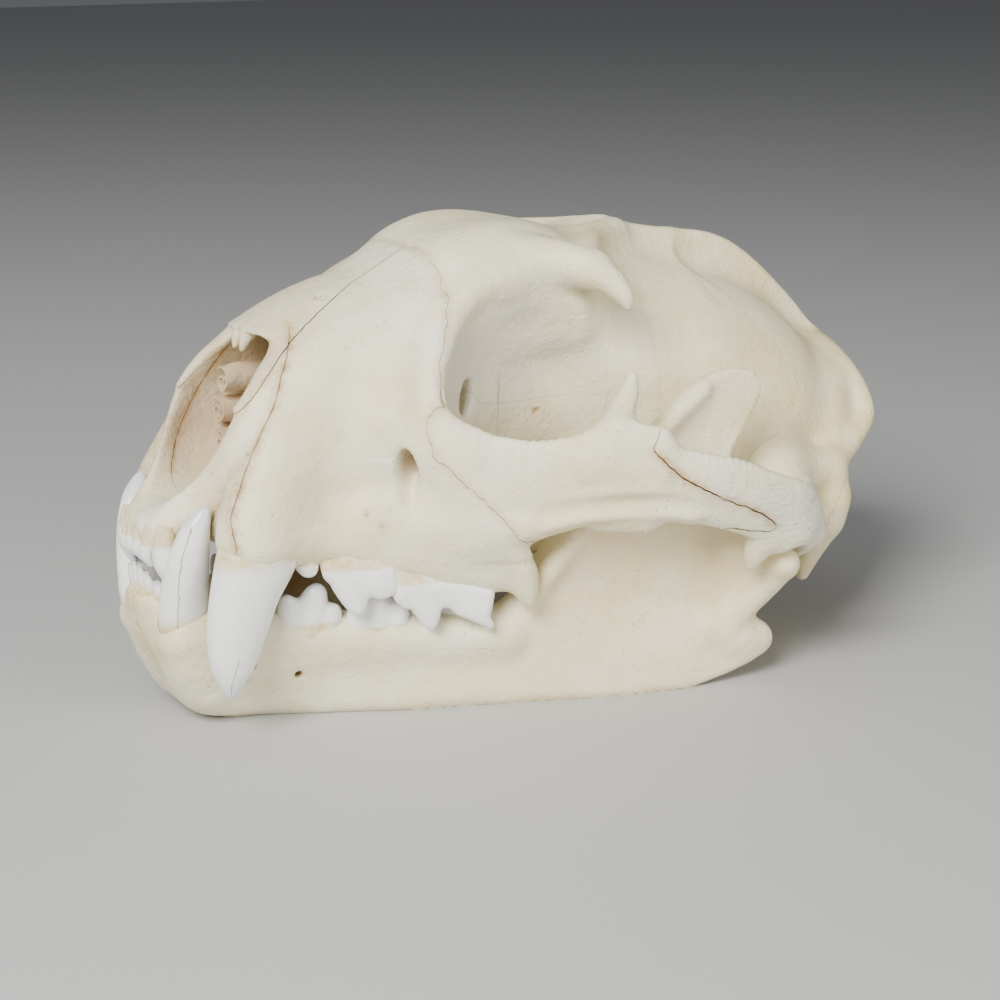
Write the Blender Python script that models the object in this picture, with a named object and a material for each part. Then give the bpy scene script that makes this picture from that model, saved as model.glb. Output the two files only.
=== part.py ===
"""Cougar skull, life size, jaws closed, resting on its lower jaw.

The bone is shaped as smooth blends of eggs, bars, lofts and plates on a grid,
meshed, thinned, and parted into its bones by thin cuts along the sutures.
Shapes are given in millimetres: x runs back from the front of the upper jaw,
y is the distance from the mid plane and z is the height over the table.
"""

import math

import bmesh
import bpy
import numpy as np
from mathutils import Vector

# Driving dimensions, mm
middleX = 96.0          # this x becomes the origin
grain = 1.5             # grid step of the bone
sutureGap = 0.3
toothGap = 0.3
skullTriangles = 3800   # before the cuts
jawTriangles = 640      # each half
toothGrain = 0.7
toothTriangles = 110    # each cheek tooth
metre = 0.001


# Distances

def curveThrough(points, count=8):
    """A smooth Catmull-Rom curve through rows of numbers."""
    rows = np.asarray(points, float)
    first = 2 * rows[0] - rows[1]
    last = 2 * rows[-1] - rows[-2]
    rows = np.vstack([first, rows, last])
    out = []
    for a, b, c, d in zip(rows, rows[1:], rows[2:], rows[3:]):
        for t in np.linspace(0, 1, count, endpoint=False):
            out.append(0.5 * (2 * b + (c - a) * t + (2 * a - 5 * b + 4 * c - d) * t ** 2
                              + (3 * b - a - 3 * c + d) * t ** 3))
    out.append(rows[-2])
    return np.array(out)


def egg(centre, radii, pitch=0.0, roll=0.0):
    """An ellipsoid; pitch lowers its rear end, roll turns it about x, in degrees."""
    centre = np.array(centre, float)
    reach = max(radii)
    cp, sp = math.cos(math.radians(pitch)), math.sin(math.radians(pitch))
    cr, sr = math.cos(math.radians(roll)), math.sin(math.radians(roll))

    def distance(x, y, z):
        dx, dy, dz = x - centre[0], y - centre[1], z - centre[2]
        along = dx * cp - dz * sp
        up = dx * sp + dz * cp
        side = dy * cr + up * sr
        up = up * cr - dy * sr
        a, b, c = along / radii[0], side / radii[1], up / radii[2]
        near = np.sqrt(a * a + b * b + c * c) + 1e-6
        slope = np.sqrt((a / radii[0]) ** 2 + (b / radii[1]) ** 2 + (c / radii[2]) ** 2) + 1e-6
        return near * (near - 1) / slope

    return centre - reach, centre + reach, distance


def bar(points, flat=None, count=5):
    """A rod through rows of x, y, z, radius; flat is (direction, ratio) for a strap's section."""
    rows = curveThrough(points, count)
    spine, radius = rows[:, :3], rows[:, 3]
    reach = radius.max() * (flat[1] if flat else 1.0)
    wide = np.array(flat[0], float) / np.linalg.norm(flat[0]) if flat else None

    def distance(x, y, z):
        best = None
        for a, b, ra, rb in zip(spine, spine[1:], radius, radius[1:]):
            run = b - a
            size = run @ run
            t = np.clip(((x - a[0]) * run[0] + (y - a[1]) * run[1] + (z - a[2]) * run[2]) / size, 0, 1)
            dx, dy, dz = x - a[0] - t * run[0], y - a[1] - t * run[1], z - a[2] - t * run[2]
            square = dx * dx + dy * dy + dz * dz
            if flat:
                across = dx * wide[0] + dy * wide[1] + dz * wide[2]
                square = square - across * across * (1 - 1 / flat[1] ** 2)
            d = np.sqrt(np.maximum(square, 0)) - (ra + t * (rb - ra))
            best = d if best is None else np.minimum(best, d)
        return best

    return spine.min(0) - reach, spine.max(0) + reach, distance


def loft(stations):
    """A body along x. Each station is x, centre z, height up, height down, half width, squareness."""
    rows = curveThrough(stations, 6)
    order = np.argsort(rows[:, 0])
    rows = rows[order]
    xs = rows[:, 0]

    def distance(x, y, z):
        flat = np.ravel(x)
        read = [np.interp(flat, xs, rows[:, i]).reshape(x.shape) for i in range(1, 6)]
        centre, up, down, wide, square = read
        high = np.where(z > centre, up, down)
        near = (np.abs(y / wide) ** square + np.abs((z - centre) / high) ** square) ** (1 / square)
        radial = (near - 1) * np.minimum(wide, high)
        ends = np.maximum(xs[0] - x, x - xs[-1])
        return np.maximum(radial, ends)

    low = np.array([xs[0], 0, (rows[:, 1] - rows[:, 3]).min()])
    high = np.array([xs[-1], rows[:, 4].max(), (rows[:, 1] + rows[:, 2]).max()])
    return low, high, distance


def outlineDistance(outline, x, z):
    """Signed distance in the x-z plane to a closed outline, on a flat grid of x and z."""
    shape = np.broadcast(x, z).shape
    px = np.broadcast_to(x, shape)
    pz = np.broadcast_to(z, shape)
    best = np.full(shape, 1e9)
    inside = np.zeros(shape, bool)
    for (ax, az), (bx, bz) in zip(outline, np.roll(outline, -1, axis=0)):
        rx, rz = bx - ax, bz - az
        size = rx * rx + rz * rz + 1e-12
        t = np.clip(((px - ax) * rx + (pz - az) * rz) / size, 0, 1)
        best = np.minimum(best, (px - ax - t * rx) ** 2 + (pz - az - t * rz) ** 2)
        crosses = (az > pz) != (bz > pz)
        if rz:
            inside ^= crosses & (px < ax + rx * (pz - az) / rz)
    return np.where(inside, -1, 1) * np.sqrt(best)


def plate(outline, innerSide, outerSide, edge=2.0, high=70.0):
    """An upright plate with an x-z outline, between two surfaces y = side(x, z), its edges rounded."""
    outline = np.asarray(outline, float)

    def distance(x, y, z):
        inPlane = outlineDistance(outline, x, z)
        middle = (innerSide(x, z) + outerSide(x, z)) / 2
        half = (outerSide(x, z) - innerSide(x, z)) / 2
        round_ = np.minimum(edge, half * 0.95)
        a = inPlane + round_
        b = np.abs(y - middle) - half + round_
        corner = np.sqrt(np.maximum(a, 0) ** 2 + np.maximum(b, 0) ** 2)
        return corner + np.minimum(np.maximum(a, b), 0) - round_

    low = np.array([outline[:, 0].min(), -5, outline[:, 1].min()])
    top = np.array([outline[:, 0].max(), high, outline[:, 1].max()])
    return low, top, distance


class Clay:
    """One side of a symmetric solid, as signed distances on a grid."""

    def __init__(self, low, high, step):
        self.step = step
        self.low = np.array(low, float)
        self.axes = [a + step * np.arange(int((b - a) / step) + 2) for a, b in zip(low, high)]
        self.field = np.full([len(a) for a in self.axes], 60.0)

    def around(self, shape, margin):
        low, high, distance = shape
        cut = []
        for axis, a, b in zip(self.axes, low - margin, high + margin):
            start = int(np.searchsorted(axis, a))
            end = int(np.searchsorted(axis, b, "right"))
            cut.append(slice(max(start - 1, 0), max(end + 1, 1)))
        x, y, z = (axis[c] for axis, c in zip(self.axes, cut))
        return tuple(cut), distance(x[:, None, None], y[None, :, None], z[None, None, :])

    def add(self, shape, soft=4.0):
        cut, d = self.around(shape, soft + 2 * self.step)
        old = self.field[cut]
        lap = np.maximum(soft - np.abs(old - d), 0) / soft
        self.field[cut] = np.minimum(old, d) - lap * lap * soft / 4

    def carve(self, shape, soft=2.0):
        cut, d = self.around(shape, soft + 2 * self.step)
        old = self.field[cut]
        lap = np.maximum(soft - np.abs(old + d), 0) / soft
        self.field[cut] = np.maximum(old, -d) + lap * lap * soft / 4


# Meshing

def withoutTouchingCells(field, rounds=12):
    """Empties grid points where two corners meet only across a square or a cube, so the skin is simple."""
    field = field.copy()
    for _ in range(rounds):
        solid = field < 0
        bad = np.zeros(field.shape, bool)
        for axis in range(3):
            a, b = [i for i in range(3) if i != axis]
            s = np.moveaxis(solid, (a, b, axis), (0, 1, 2))
            m = np.moveaxis(bad, (a, b, axis), (0, 1, 2))
            one = s[:-1, :-1] & s[1:, 1:] & ~s[1:, :-1] & ~s[:-1, 1:]
            two = ~s[:-1, :-1] & ~s[1:, 1:] & s[1:, :-1] & s[:-1, 1:]
            m[1:, 1:] |= one
            m[1:, :-1] |= two
        if not bad.any():
            break
        field[bad] = 0.02
    return field


def skin(field, low, step):
    """A quad mesh on the zero level of a grid, one point to each crossed cell."""
    field = withoutTouchingCells(field)
    solid = field < 0
    size = np.array(field.shape) - 1
    count = np.zeros(size, np.uint8)
    corners = [(i, j, k) for i in (0, 1) for j in (0, 1) for k in (0, 1)]
    for i, j, k in corners:
        count += solid[i:i + size[0], j:j + size[1], k:k + size[2]]
    cells = np.argwhere((count > 0) & (count < 8))
    index = np.full(size, -1, np.int64)
    index[tuple(cells.T)] = np.arange(len(cells))
    value = {c: field[tuple((cells + c).T)] for c in corners}
    total = np.zeros((len(cells), 3))
    hits = np.zeros(len(cells))
    for a in corners:
        for axis in range(3):
            if a[axis]:
                continue
            b = tuple(v + (n == axis) for n, v in enumerate(a))
            crossed = (value[a] < 0) != (value[b] < 0)
            t = value[a][crossed] / (value[a][crossed] - value[b][crossed])
            point = np.tile(np.array(a, float), (len(t), 1))
            point[:, axis] += t
            total[crossed] += point
            hits[crossed] += 1
    points = (cells + total / hits[:, None]) * step + low
    faces = []
    for axis in range(3):
        a, b = [(1, 2), (2, 0), (0, 1)][axis]
        one = [slice(None)] * 3
        two = [slice(None)] * 3
        one[axis], two[axis] = slice(0, -1), slice(1, None)
        first, second = solid[tuple(one)], solid[tuple(two)]
        for start, flip in ((first & ~second, False), (~first & second, True)):
            edge = np.argwhere(start)
            inner = (edge[:, a] > 0) & (edge[:, b] > 0) & (edge[:, a] < size[a]) & (edge[:, b] < size[b])
            edge = edge[inner]
            ring = []
            for da, db in ((1, 1), (0, 1), (0, 0), (1, 0)):
                cell = edge.copy()
                cell[:, a] -= da
                cell[:, b] -= db
                ring.append(index[tuple(cell.T)])
            faces.append(np.stack(ring[::-1] if flip else ring, 1))
    return points, np.concatenate(faces)


def sample(field, low, step, points):
    """The field and its slope at points, read between the grid's corners."""
    at = (points - low) / step
    base = np.clip(np.floor(at).astype(int), 0, np.array(field.shape) - 2)
    f = at - base
    v = {}
    for i in (0, 1):
        for j in (0, 1):
            for k in (0, 1):
                v[i, j, k] = field[base[:, 0] + i, base[:, 1] + j, base[:, 2] + k]
    fx, fy, fz = f.T
    def mix(a, b, t):
        return a + (b - a) * t
    x00, x10 = mix(v[0, 0, 0], v[1, 0, 0], fx), mix(v[0, 1, 0], v[1, 1, 0], fx)
    x01, x11 = mix(v[0, 0, 1], v[1, 0, 1], fx), mix(v[0, 1, 1], v[1, 1, 1], fx)
    low2, high2 = mix(x00, x10, fy), mix(x01, x11, fy)
    gz = high2 - low2
    gy = mix(x10 - x00, x11 - x01, fz)
    gx = mix(mix(v[1, 0, 0] - v[0, 0, 0], v[1, 1, 0] - v[0, 1, 0], fy),
             mix(v[1, 0, 1] - v[0, 0, 1], v[1, 1, 1] - v[0, 1, 1], fy), fz)
    return mix(low2, high2, fz), np.stack([gx, gy, gz], 1) / step


def meshOf(field, low, step, mirrored):
    """Points and quads of a clay field, eased along the surface and laid on its zero level."""
    if mirrored:
        field = np.concatenate([field[:, :0:-1], field], 1)
        low = np.array([low[0], -step * (field.shape[1] // 2), low[2]])
    points, faces = skin(field, low, step)
    edges = np.concatenate([faces[:, [0, 1]], faces[:, [1, 2]], faces[:, [2, 3]], faces[:, [3, 0]]])
    degree = np.bincount(edges[:, 0], minlength=len(points))[:, None]
    for turn in range(4):
        if turn < 3:
            sums = np.zeros_like(points)
            for i in range(3):
                sums[:, i] = np.bincount(edges[:, 0], points[edges[:, 1], i], len(points))
            points = points + 0.5 * (sums / degree - points)
        d, slope = sample(field, low, step, points)
        size = (slope ** 2).sum(1) + 0.05
        move = -slope * (d / size)[:, None]
        reach = np.linalg.norm(move, axis=1)[:, None] + 1e-9
        points = points + move * np.minimum(1, 0.5 * step / reach)
    return points, faces


# Cranium

def snoutAndForehead(clay):
    # x, centre z, up, down, half width, squareness
    clay.add(loft([
        (-0.5, 46, 2, 3, 4, 2), (5, 47, 6, 5.6, 9.6, 2.2), (12, 49, 13, 8, 11, 2.2),
        (17, 54, 20, 11, 15, 2.2),
        (21.6, 58, 25.2, 14.5, 18.2, 2.2), (30, 60, 27, 17.5, 22.8, 2.1), (44, 60, 32.8, 19, 25.6, 2.3),
        (58, 62, 34, 22, 26.6, 2.3),
        (70, 66, 28, 22, 21, 2.3), (80, 66, 18, 14, 12, 2.2)]), 3)
    clay.add(loft([
        (46, 64, 10, 12, 12, 2.2), (60, 76, 18, 18, 21, 2.4), (72, 86, 16.8, 14, 23, 2.6),
        (82, 88, 17.2, 13, 22.5, 2.8), (92, 89, 16.8, 13, 24, 2.6), (101, 88, 16.8, 14, 26, 2.3),
        (108, 85, 17.8, 17, 24, 2.2), (117, 80, 20.4, 20, 21, 2.1), (128, 76, 21.6, 20, 17, 2),
        (140, 72, 18, 16, 10, 2)]), 8)
    clay.add(loft([
        (52, 62, 16, 16, 14, 2.2), (64, 62, 26, 24, 21, 2.3), (76, 62, 30, 24, 19.4, 2.3),
        (90, 64, 26, 22, 17.6, 2.2),
        (104, 64, 26, 22, 17.6, 2), (120, 62, 26, 22, 20, 2), (134, 58, 26, 20, 22, 2)]), 8)
    # swellings each side of the forehead's trough
    clay.add(egg((88, 12, 92.6), (17, 10, 11.5), 3), 7)


def alveolarRidge(clay):
    clay.add(bar([(20.5, 16, 49, 4.4), (25, 18.6, 46.4, 5.6), (31, 20.5, 44, 5.6), (41, 22, 41.5, 5),
                  (53, 25.5, 38, 5),
                  (64, 29.5, 35.2, 5.2), (72, 32.4, 33, 5), (77, 33.8, 31.8, 3.8)]), 6)
    # the cheek swells over the upper canine's root
    clay.add(bar([(21.4, 22.6, 44.4, 6.5), (23.6, 21.6, 50, 6.6), (27.5, 20, 59, 5.8), (33, 18, 69, 4.4)],
                 ((1, 0, -0.35), 1.36)), 5)
    # palate under the nose, and the front that carries the incisors
    clay.add(loft([(2, 45, 4, 4, 8, 2.6), (12, 45, 5, 4.6, 12.4, 2.6), (30, 47, 7, 5.5, 20, 2.8),
                   (50, 45, 8, 5.5, 22, 2.8),
                   (70, 42, 8, 5.5, 24, 2.8), (84, 39.5, 8, 5, 22, 2.8)]), 4)


def cheekRoot(clay):
    clay.add(bar([(54, 26, 67, 6), (60, 30, 63, 6), (66, 33.6, 57, 7), (72, 37, 51, 7)]), 7)
    clay.add(bar([(56, 24.2, 61, 6), (56, 22.8, 70, 6), (59.4, 20.6, 79, 6), (65, 17.8, 86, 5.8)]), 8)
    clay.add(bar([(50, 24, 47, 5), (60, 28.5, 45, 7), (70, 34, 44, 7.5), (76, 38.6, 44.5, 5.5)]), 7)
    clay.add(bar([(75.4, 37.6, 43, 5.4), (78, 38.6, 35, 3.8), (79.4, 38.8, 28.4, 2.4),
                  (80.2, 38.6, 25, 1)]), 4)


def orbitRim(clay):
    # from the cheek up and round to the forehead
    clay.add(bar([(66, 37.4, 62.4, 2), (61.4, 32.6, 67, 2), (61, 30.4, 73, 1.8), (64, 27.6, 81.5, 2),
                  (69, 24.4, 88.6, 2.4),
                  (76, 22.2, 93.8, 3), (85, 21.4, 96.4, 3)]), 4)
    clay.add(bar([(82, 18.6, 96.6, 4.2), (91, 21.2, 99.8, 4.6), (98.6, 26.4, 99.8, 3.8),
                  (103.4, 32, 97.2, 2.7),
                  (105.6, 35.8, 93.6, 1.7), (106, 36.8, 91.4, 0.9)]), 5)


def arch(clay):
    # a strap on edge: x, y, z, half thickness
    upright = (0.05, 0.22, 1.0)
    clay.add(bar([(60, 31.5, 59, 2.4), (68, 37.5, 55.5, 2.9), (76, 43.5, 54, 3), (84, 48.8, 55, 3),
                  (92, 53.2, 56.2, 2.9),
                  (100, 56.8, 55, 2.7)], (upright, 3.7)), 4)
    clay.add(bar([(92, 53, 56, 2.9), (101, 57.2, 54.5, 2.8), (110, 60.2, 52.6, 2.8), (119, 61.4, 50, 2.8),
                  (127, 61.6, 46.6, 2.8), (134, 61, 43.4, 2.9), (140, 58.6, 40.8, 3), (144, 53, 39.8, 3.2)],
                 (upright, 3.1)), 4)
    # hook that closes the orbit behind
    clay.add(bar([(88, 51, 60, 4.6), (93, 51.8, 66.5, 3.6), (97, 50.8, 72.3, 2.4), (99, 50, 77, 1.1)]), 3)
    # edge that the chewing muscle hangs from
    clay.add(bar([(71, 39.5, 45, 2), (77, 43.5, 45.6, 2.4), (82, 48.4, 48, 2.4), (89, 53.4, 50.4, 2.2),
                  (98, 57.4, 50.6, 1.8), (108, 60.4, 48, 1.2)]), 4)


def archRoot(clay):
    clay.add(bar([(143, 55, 40, 4.2), (147, 47, 40.5, 5.5), (149, 39, 43, 8), (150, 32, 46, 10)]), 6)
    # roof over the jaw joint with its lips before and behind
    clay.add(bar([(137, 58, 38.5, 4), (139, 50, 39, 4.6), (140, 42, 39.5, 5), (140, 34, 40, 5)]), 5)
    clay.add(bar([(130.5, 58, 40, 3), (128.5, 57.2, 35.5, 2.6), (128.2, 56.4, 31.6, 1.6)]), 3)
    clay.add(bar([(146.5, 55, 36, 3), (147.6, 49, 32.6, 3.2), (148, 42, 31.6, 3.4),
                  (147.5, 36, 33.5, 3.4)]), 4)
    # hollow that the jaw's roller turns in
    clay.carve(bar([(137.6, 61, 30.6, 5), (136.6, 50, 30.8, 5.4), (135.6, 42, 30.4, 5.2),
                    (135, 33, 29.8, 4.4)]), 1)
    # crest from the arch back over the ear
    clay.add(bar([(150, 36, 46, 4), (158, 36.4, 45, 3.6), (166, 36.4, 44.5, 3.2)]), 6)


def braincase(clay):
    clay.add(egg((141, 0, 59), (38, 34, 31.5), 10.5), 10)
    clay.add(egg((158, 0, 55), (25, 33, 25), 12), 8)
    # temporal lines and the crest they meet in
    clay.add(bar([(103, 30, 98.4, 1.6), (108, 21, 99.8, 1.5), (115, 11.6, 100.8, 1.5),
                  (126, 3, 100.6, 1.8)]), 6)
    crest = curveThrough([(112, 96), (117, 100), (124, 100.6), (132, 100.8), (142, 99.4), (153, 98),
                          (162, 95),
                          (170, 89.8), (177, 83.8), (184, 76.8), (189, 70.4), (191.4, 65.6), (188, 61),
                          (176, 60),
                          (150, 74), (124, 84)], 4)

    def crestHalf(x, z):
        ridge = np.interp(np.ravel(x), [112, 130, 160, 185, 194], [5, 1.7, 1.5, 2.4, 4.5]).reshape(x.shape)
        return ridge + 0 * z

    clay.add(plate(crest, lambda x, z: -crestHalf(x, z), crestHalf, 1.6, 8), 7)


def occiput(clay):
    clay.add(egg((172, 0, 49.6), (12.6, 33, 21.6), 25), 6)
    clay.add(egg((177.4, 0, 57.6), (6, 26, 13), 30), 5)
    # crest across the back, from the crown down to behind the ear
    clay.add(bar([(188.6, 0, 66, 2.8), (186.6, 8, 67, 2.4), (185, 16, 65.4, 2.2), (184.8, 24, 60.4, 2.2),
                  (183.8, 29.6, 54, 2),
                  (177.4, 32.4, 49, 2.2), (169.4, 35.4, 44.4, 2.6), (168.6, 36.6, 38, 3),
                  (168.4, 35.4, 31, 3)]), 5)
    clay.add(bar([(168.6, 34, 36, 4.6), (167.4, 31.6, 27, 4.2), (166.6, 29.4, 20, 3),
                  (166.4, 28.5, 15.6, 1.8)]), 5)
    clay.add(egg((172.5, 12.5, 30.5), (6.8, 6.6, 9), -20, 25), 4)
    clay.add(bar([(172, 20, 31, 7), (168, 27, 31, 6)]), 6)


def skullBase(clay):
    clay.add(egg((152, 19.5, 25.5), (16.5, 9.6, 10.5), 8), 4)
    clay.add(bar([(160, 30, 32, 6), (152, 31, 33, 6), (145, 33, 36, 5)]), 6)
    clay.add(loft([(84, 46, 10, 5, 15, 2.4), (98, 44, 12, 4, 11, 2.4), (112, 42, 14, 5, 12, 2.4),
                   (130, 37, 16, 5.5, 14, 2.6),
                   (150, 31.5, 14, 4.5, 12, 2.6), (170, 29, 10, 4.5, 12, 2.6)]), 6)
    # wings each side of the throat opening
    clay.add(plate([(80, 44), (84, 30), (92, 27.5), (100, 26.5), (107, 25), (110, 27.5), (108, 33),
                    (118, 38), (124, 46)],
                   lambda x, z: 8.2 + 0 * x * z, lambda x, z: 10.6 + 0 * x * z, 1.1, 14), 3)


def noseMouth(clay):
    """The opening of the nose: its edge follows the front bone below and the notched nasal bones above."""
    heights = (40, 48.5, 52, 56.2, 61.4, 67.4, 70.4, 72, 76, 79.6, 82, 84.2, 85.2, 86, 90)
    edges = (-6, 0.8, 5.2, 11, 15.8, 19.2, 20.8, 20.6, 24.2, 27.6, 30.6, 32.6, 32, 28.8, 28.6)

    def distance(x, y, z):
        edge = np.interp(np.ravel(z), heights, edges).reshape(z.shape)
        return np.maximum((x - edge) * 0.72, 47.4 - z) + 0 * y

    clay.carve((np.array([-4, 0, 40]), np.array([32, 40, 100]), distance), 1)


def openings(clay):
    noseMouth(clay)
    # the nasal hollow
    clay.carve(loft([(2, 54.5, 7, 5, 8, 2), (9, 57, 14, 6.6, 8, 2.2), (15, 61, 20, 10, 11, 2.2),
                     (22, 65, 20, 14, 14.2, 2.2), (30, 67, 18.2, 15.6, 15, 2.1), (44, 70, 18.4, 18, 14, 2.2),
                     (58, 74, 17, 17, 12, 2.2), (64, 76, 12, 10, 7, 2)]), 2)
    # the nasal bones turn down where they meet
    clay.add(bar([(33, 1.6, 86.4, 1.6), (30.6, 1.8, 84.6, 1.5), (29.6, 1.8, 82.2, 0.9)]), 1)
    # room for the lower canine
    clay.carve(bar([(9.6, 11.6, 32.6, 6.2), (9.8, 13.9, 39.6, 5.4), (10.8, 16, 46.6, 4.2),
                    (13, 17.5, 52.6, 1.8)]), 1.5)
    # under the eye
    clay.carve(bar([(49, 36.5, 56, 2.2), (54.4, 31, 57, 2.4), (60, 28.4, 59, 2.2), (70, 28.4, 61, 2.2)],
                   ((-0.1, 0, 1), 2.6)), 0.8)
    # palate
    clay.carve(bar([(16, 0, 37.5, 7), (32, 0, 35, 7.4), (50, 0, 31.4, 8), (66, 0, 27.6, 8.6),
                    (80, 0, 24.6, 9)],
                   ((0, 1, 0), 1.75)), 5)
    # throat opening behind it
    clay.carve(bar([(82, 0, 38.4, 5.4), (94, 0, 34.8, 6), (108, 0, 31.4, 6), (120, 0, 27.4, 6)]), 2)
    # where the spine begins
    clay.carve(bar([(190, 0, 38.5, 8.6), (176, 0, 37.6, 8), (160, 0, 40, 7.4),
                    (148, 0, 44, 6)], ((0, 1, 0), 1.25)), 2)
    # ear
    clay.carve(bar([(158, 37, 33, 2.6), (156, 28, 32, 2.4), (155, 24, 31, 2)]), 1.5)


def orbits(clay):
    clay.carve(egg((87, 43.5, 76.5), (26, 23.6, 21), 4, -8), 4)
    clay.carve(egg((96, 42, 58), (28, 22.4, 24), 4), 6)
    # the tear hole in the orbit's front wall
    clay.carve(bar([(77, 24.5, 69.8, 1.6), (74.6, 19.8, 69.3, 1.8),
                    (71.5, 13, 68.4, 1.5)], ((0.1, 0, 1), 1.9)), 0.8)


def cranium(step):
    clay = Clay((-4, 0, 8), (199, 70, 112), step)
    snoutAndForehead(clay)
    alveolarRidge(clay)
    braincase(clay)
    occiput(clay)
    skullBase(clay)
    cheekRoot(clay)
    orbits(clay)
    orbitRim(clay)
    openings(clay)
    arch(clay)
    archRoot(clay)
    return clay


# Lower jaw

def jaw(step):
    clay = Clay((-4, -3, -3), (150, 64, 78), step)
    outline = curveThrough([
        (1.8, 28.5), (3.6, 22), (6, 15), (9.2, 7.6), (13.6, 2.6), (20, 0.2), (30, -0.3), (60, -0.5),
        (90, -0.5),
        (116, -0.5), (126, 1), (134, 3.4), (140.6, 7), (140.6, 11), (136.4, 15.6), (135.4, 20), (138, 27),
        (137.4, 33), (131.6, 37), (128.6, 43), (128.8, 50), (129.6, 56), (133, 62), (136.4, 69),
        (134.2, 73.4),
        (127.6, 74.8), (120.6, 72.4), (113, 66), (104, 56.6), (95, 46), (87.6, 36.5), (82, 27),
        (76, 21.6), (64, 21),
        (50, 22.2), (38, 23.8), (29, 25.6), (22, 27), (14, 27), (6, 29.6)], 3)

    # the jaw's mid surface bows outwards to the rear
    xs = [-4, 1, 4, 8, 14, 22, 30, 40, 50, 62, 78, 100, 119, 135, 150]
    outer = [1, 4.6, 8.6, 12.4, 15.4, 16.6, 18, 20.4, 23.6, 27.8, 33, 41.6, 46.2, 48.4, 49]
    inner = [-6, -6, -6, -6, -6, -5, 2, 8.5, 12.8, 17.4, 24.6, 34.6, 41, 44.4, 45.6]

    def outerSide(x, z):
        flat = np.interp(np.ravel(x), xs, outer).reshape(x.shape)
        fossa = 3.2 * np.exp(-((x - 111) / 19) ** 2 - ((z - 26) / 15) ** 2)
        fossa = fossa + 1.4 * np.exp(-((x - 121) / 8) ** 2 - ((z - 58) / 11) ** 2)
        chin = np.clip((14 - z) / 14, 0, 1) * np.clip((60 - x) / 34, 0, 1) * 7
        high = np.clip((z - 36) / 30, 0, 1)
        return flat - fossa - chin + high * np.interp(np.ravel(x), [90, 135], [1.5, -0.5]).reshape(x.shape)

    def innerSide(x, z):
        flat = np.interp(np.ravel(x), xs, inner).reshape(x.shape)
        high = np.clip((z - 30) / 30, 0, 1)
        return flat + high * 2.2 + 1.6 * np.exp(-((x - 112) / 22) ** 2 - ((z - 20) / 16) ** 2)

    clay.add(plate(outline, innerSide, outerSide, 4.8), 1)
    # the joint's roller
    clay.add(bar([(137.6, 56.6, 30.6, 3.2), (136.6, 50, 30.8, 4), (135.6, 42, 30.4, 3.8),
                  (135, 37, 29.8, 2.8)]), 3)
    clay.add(bar([(126, 44, 14, 3.4), (133, 45.6, 10.4, 3.8), (138, 46.4, 9.6, 2.6)]), 4)
    clay.add(bar([(132, 46.6, 17, 3.4), (136, 50.4, 23, 3.4), (138.2, 55, 28.6, 3)]), 3)
    # front border of the ramus is a thick band
    clay.add(bar([(84, 35.6, 28, 2.6), (93, 40.6, 42, 2.4), (103.4, 44, 54.4, 2.2),
                  (112.6, 45.4, 64.2, 2), (120.8, 46, 70.4, 1.6)]), 3)
    # sockets of the canine and the cheek teeth
    clay.add(bar([(15.4, 8.6, 10.4, 5), (12.6, 9.4, 16.2, 5.8), (10.2, 10, 22.4, 6.5)]), 4)
    clay.add(bar([(30, 15, 22, 3.8), (38, 17.2, 19.8, 4), (50, 21, 18.4, 4.2), (66, 26.2, 17.4, 4.2),
                  (78, 31, 16.6, 4)]), 5)
    # the two halves meet on a flat, and both stand on one
    clay.field = np.maximum(clay.field, sutureGap / 2 - clay.axes[1][None, :, None])
    clay.field = np.maximum(clay.field, -clay.axes[2][None, None, :])
    # the nerve's holes beside the chin
    for x, y, z, hole in ((22, 16.3, 15.1, 1.1), (21.2, 15.1, 11.4, 0.8), (33.1, 17.6, 11.2, 0.9)):
        clay.carve(bar([(x - 1, y + 6, z, hole), (x + 1, y - 3, z, hole)]), 0.6)
    return clay


# Blender objects

def newObject(name, points, faces):
    mesh = bpy.data.meshes.new(name)
    mesh.from_pydata([tuple(p) for p in points], [], [tuple(int(i) for i in f) for f in faces])
    mesh.update()
    thing = bpy.data.objects.new(name, mesh)
    bpy.context.collection.objects.link(thing)
    return thing


def settled(thing):
    """Applies an object's modifiers to its mesh."""
    graph = bpy.context.evaluated_depsgraph_get()
    mesh = bpy.data.meshes.new_from_object(thing.evaluated_get(graph))
    thing.modifiers.clear()
    old = thing.data
    thing.data = mesh
    bpy.data.meshes.remove(old)
    return thing


def thinned(thing, triangles, symmetric):
    now = sum(len(f.vertices) - 2 for f in thing.data.polygons)
    thin = thing.modifiers.new("thin", "DECIMATE")
    thin.ratio = triangles / now
    thin.use_collapse_triangulate = True
    thin.use_symmetry = symmetric
    thin.symmetry_axis = "Y"
    return settled(thing)


def boolean(thing, tool, operation):
    cut = thing.modifiers.new(operation.lower(), "BOOLEAN")
    cut.operation = operation
    cut.solver = "MANIFOLD"     # the exact solver loses the body where thin sheets cross
    cut.object = tool
    settled(thing)
    bpy.data.objects.remove(tool)
    return thing


def pieces(thing):
    """The separate bodies of an object's mesh, each as points and faces."""
    mesh = thing.data
    parent = list(range(len(mesh.vertices)))

    def root(i):
        while parent[i] != i:
            parent[i] = parent[parent[i]]
            i = parent[i]
        return i

    for edge in mesh.edges:
        a, b = root(edge.vertices[0]), root(edge.vertices[1])
        if a != b:
            parent[a] = b
    groups = {}
    for face in mesh.polygons:
        groups.setdefault(root(face.vertices[0]), []).append(tuple(face.vertices))
    for faces in groups.values():
        used = sorted({i for f in faces for i in f})
        place = {old: new for new, old in enumerate(used)}
        points = np.array([mesh.vertices[i].co for i in used])
        yield points, [tuple(place[i] for i in f) for f in faces]


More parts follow.
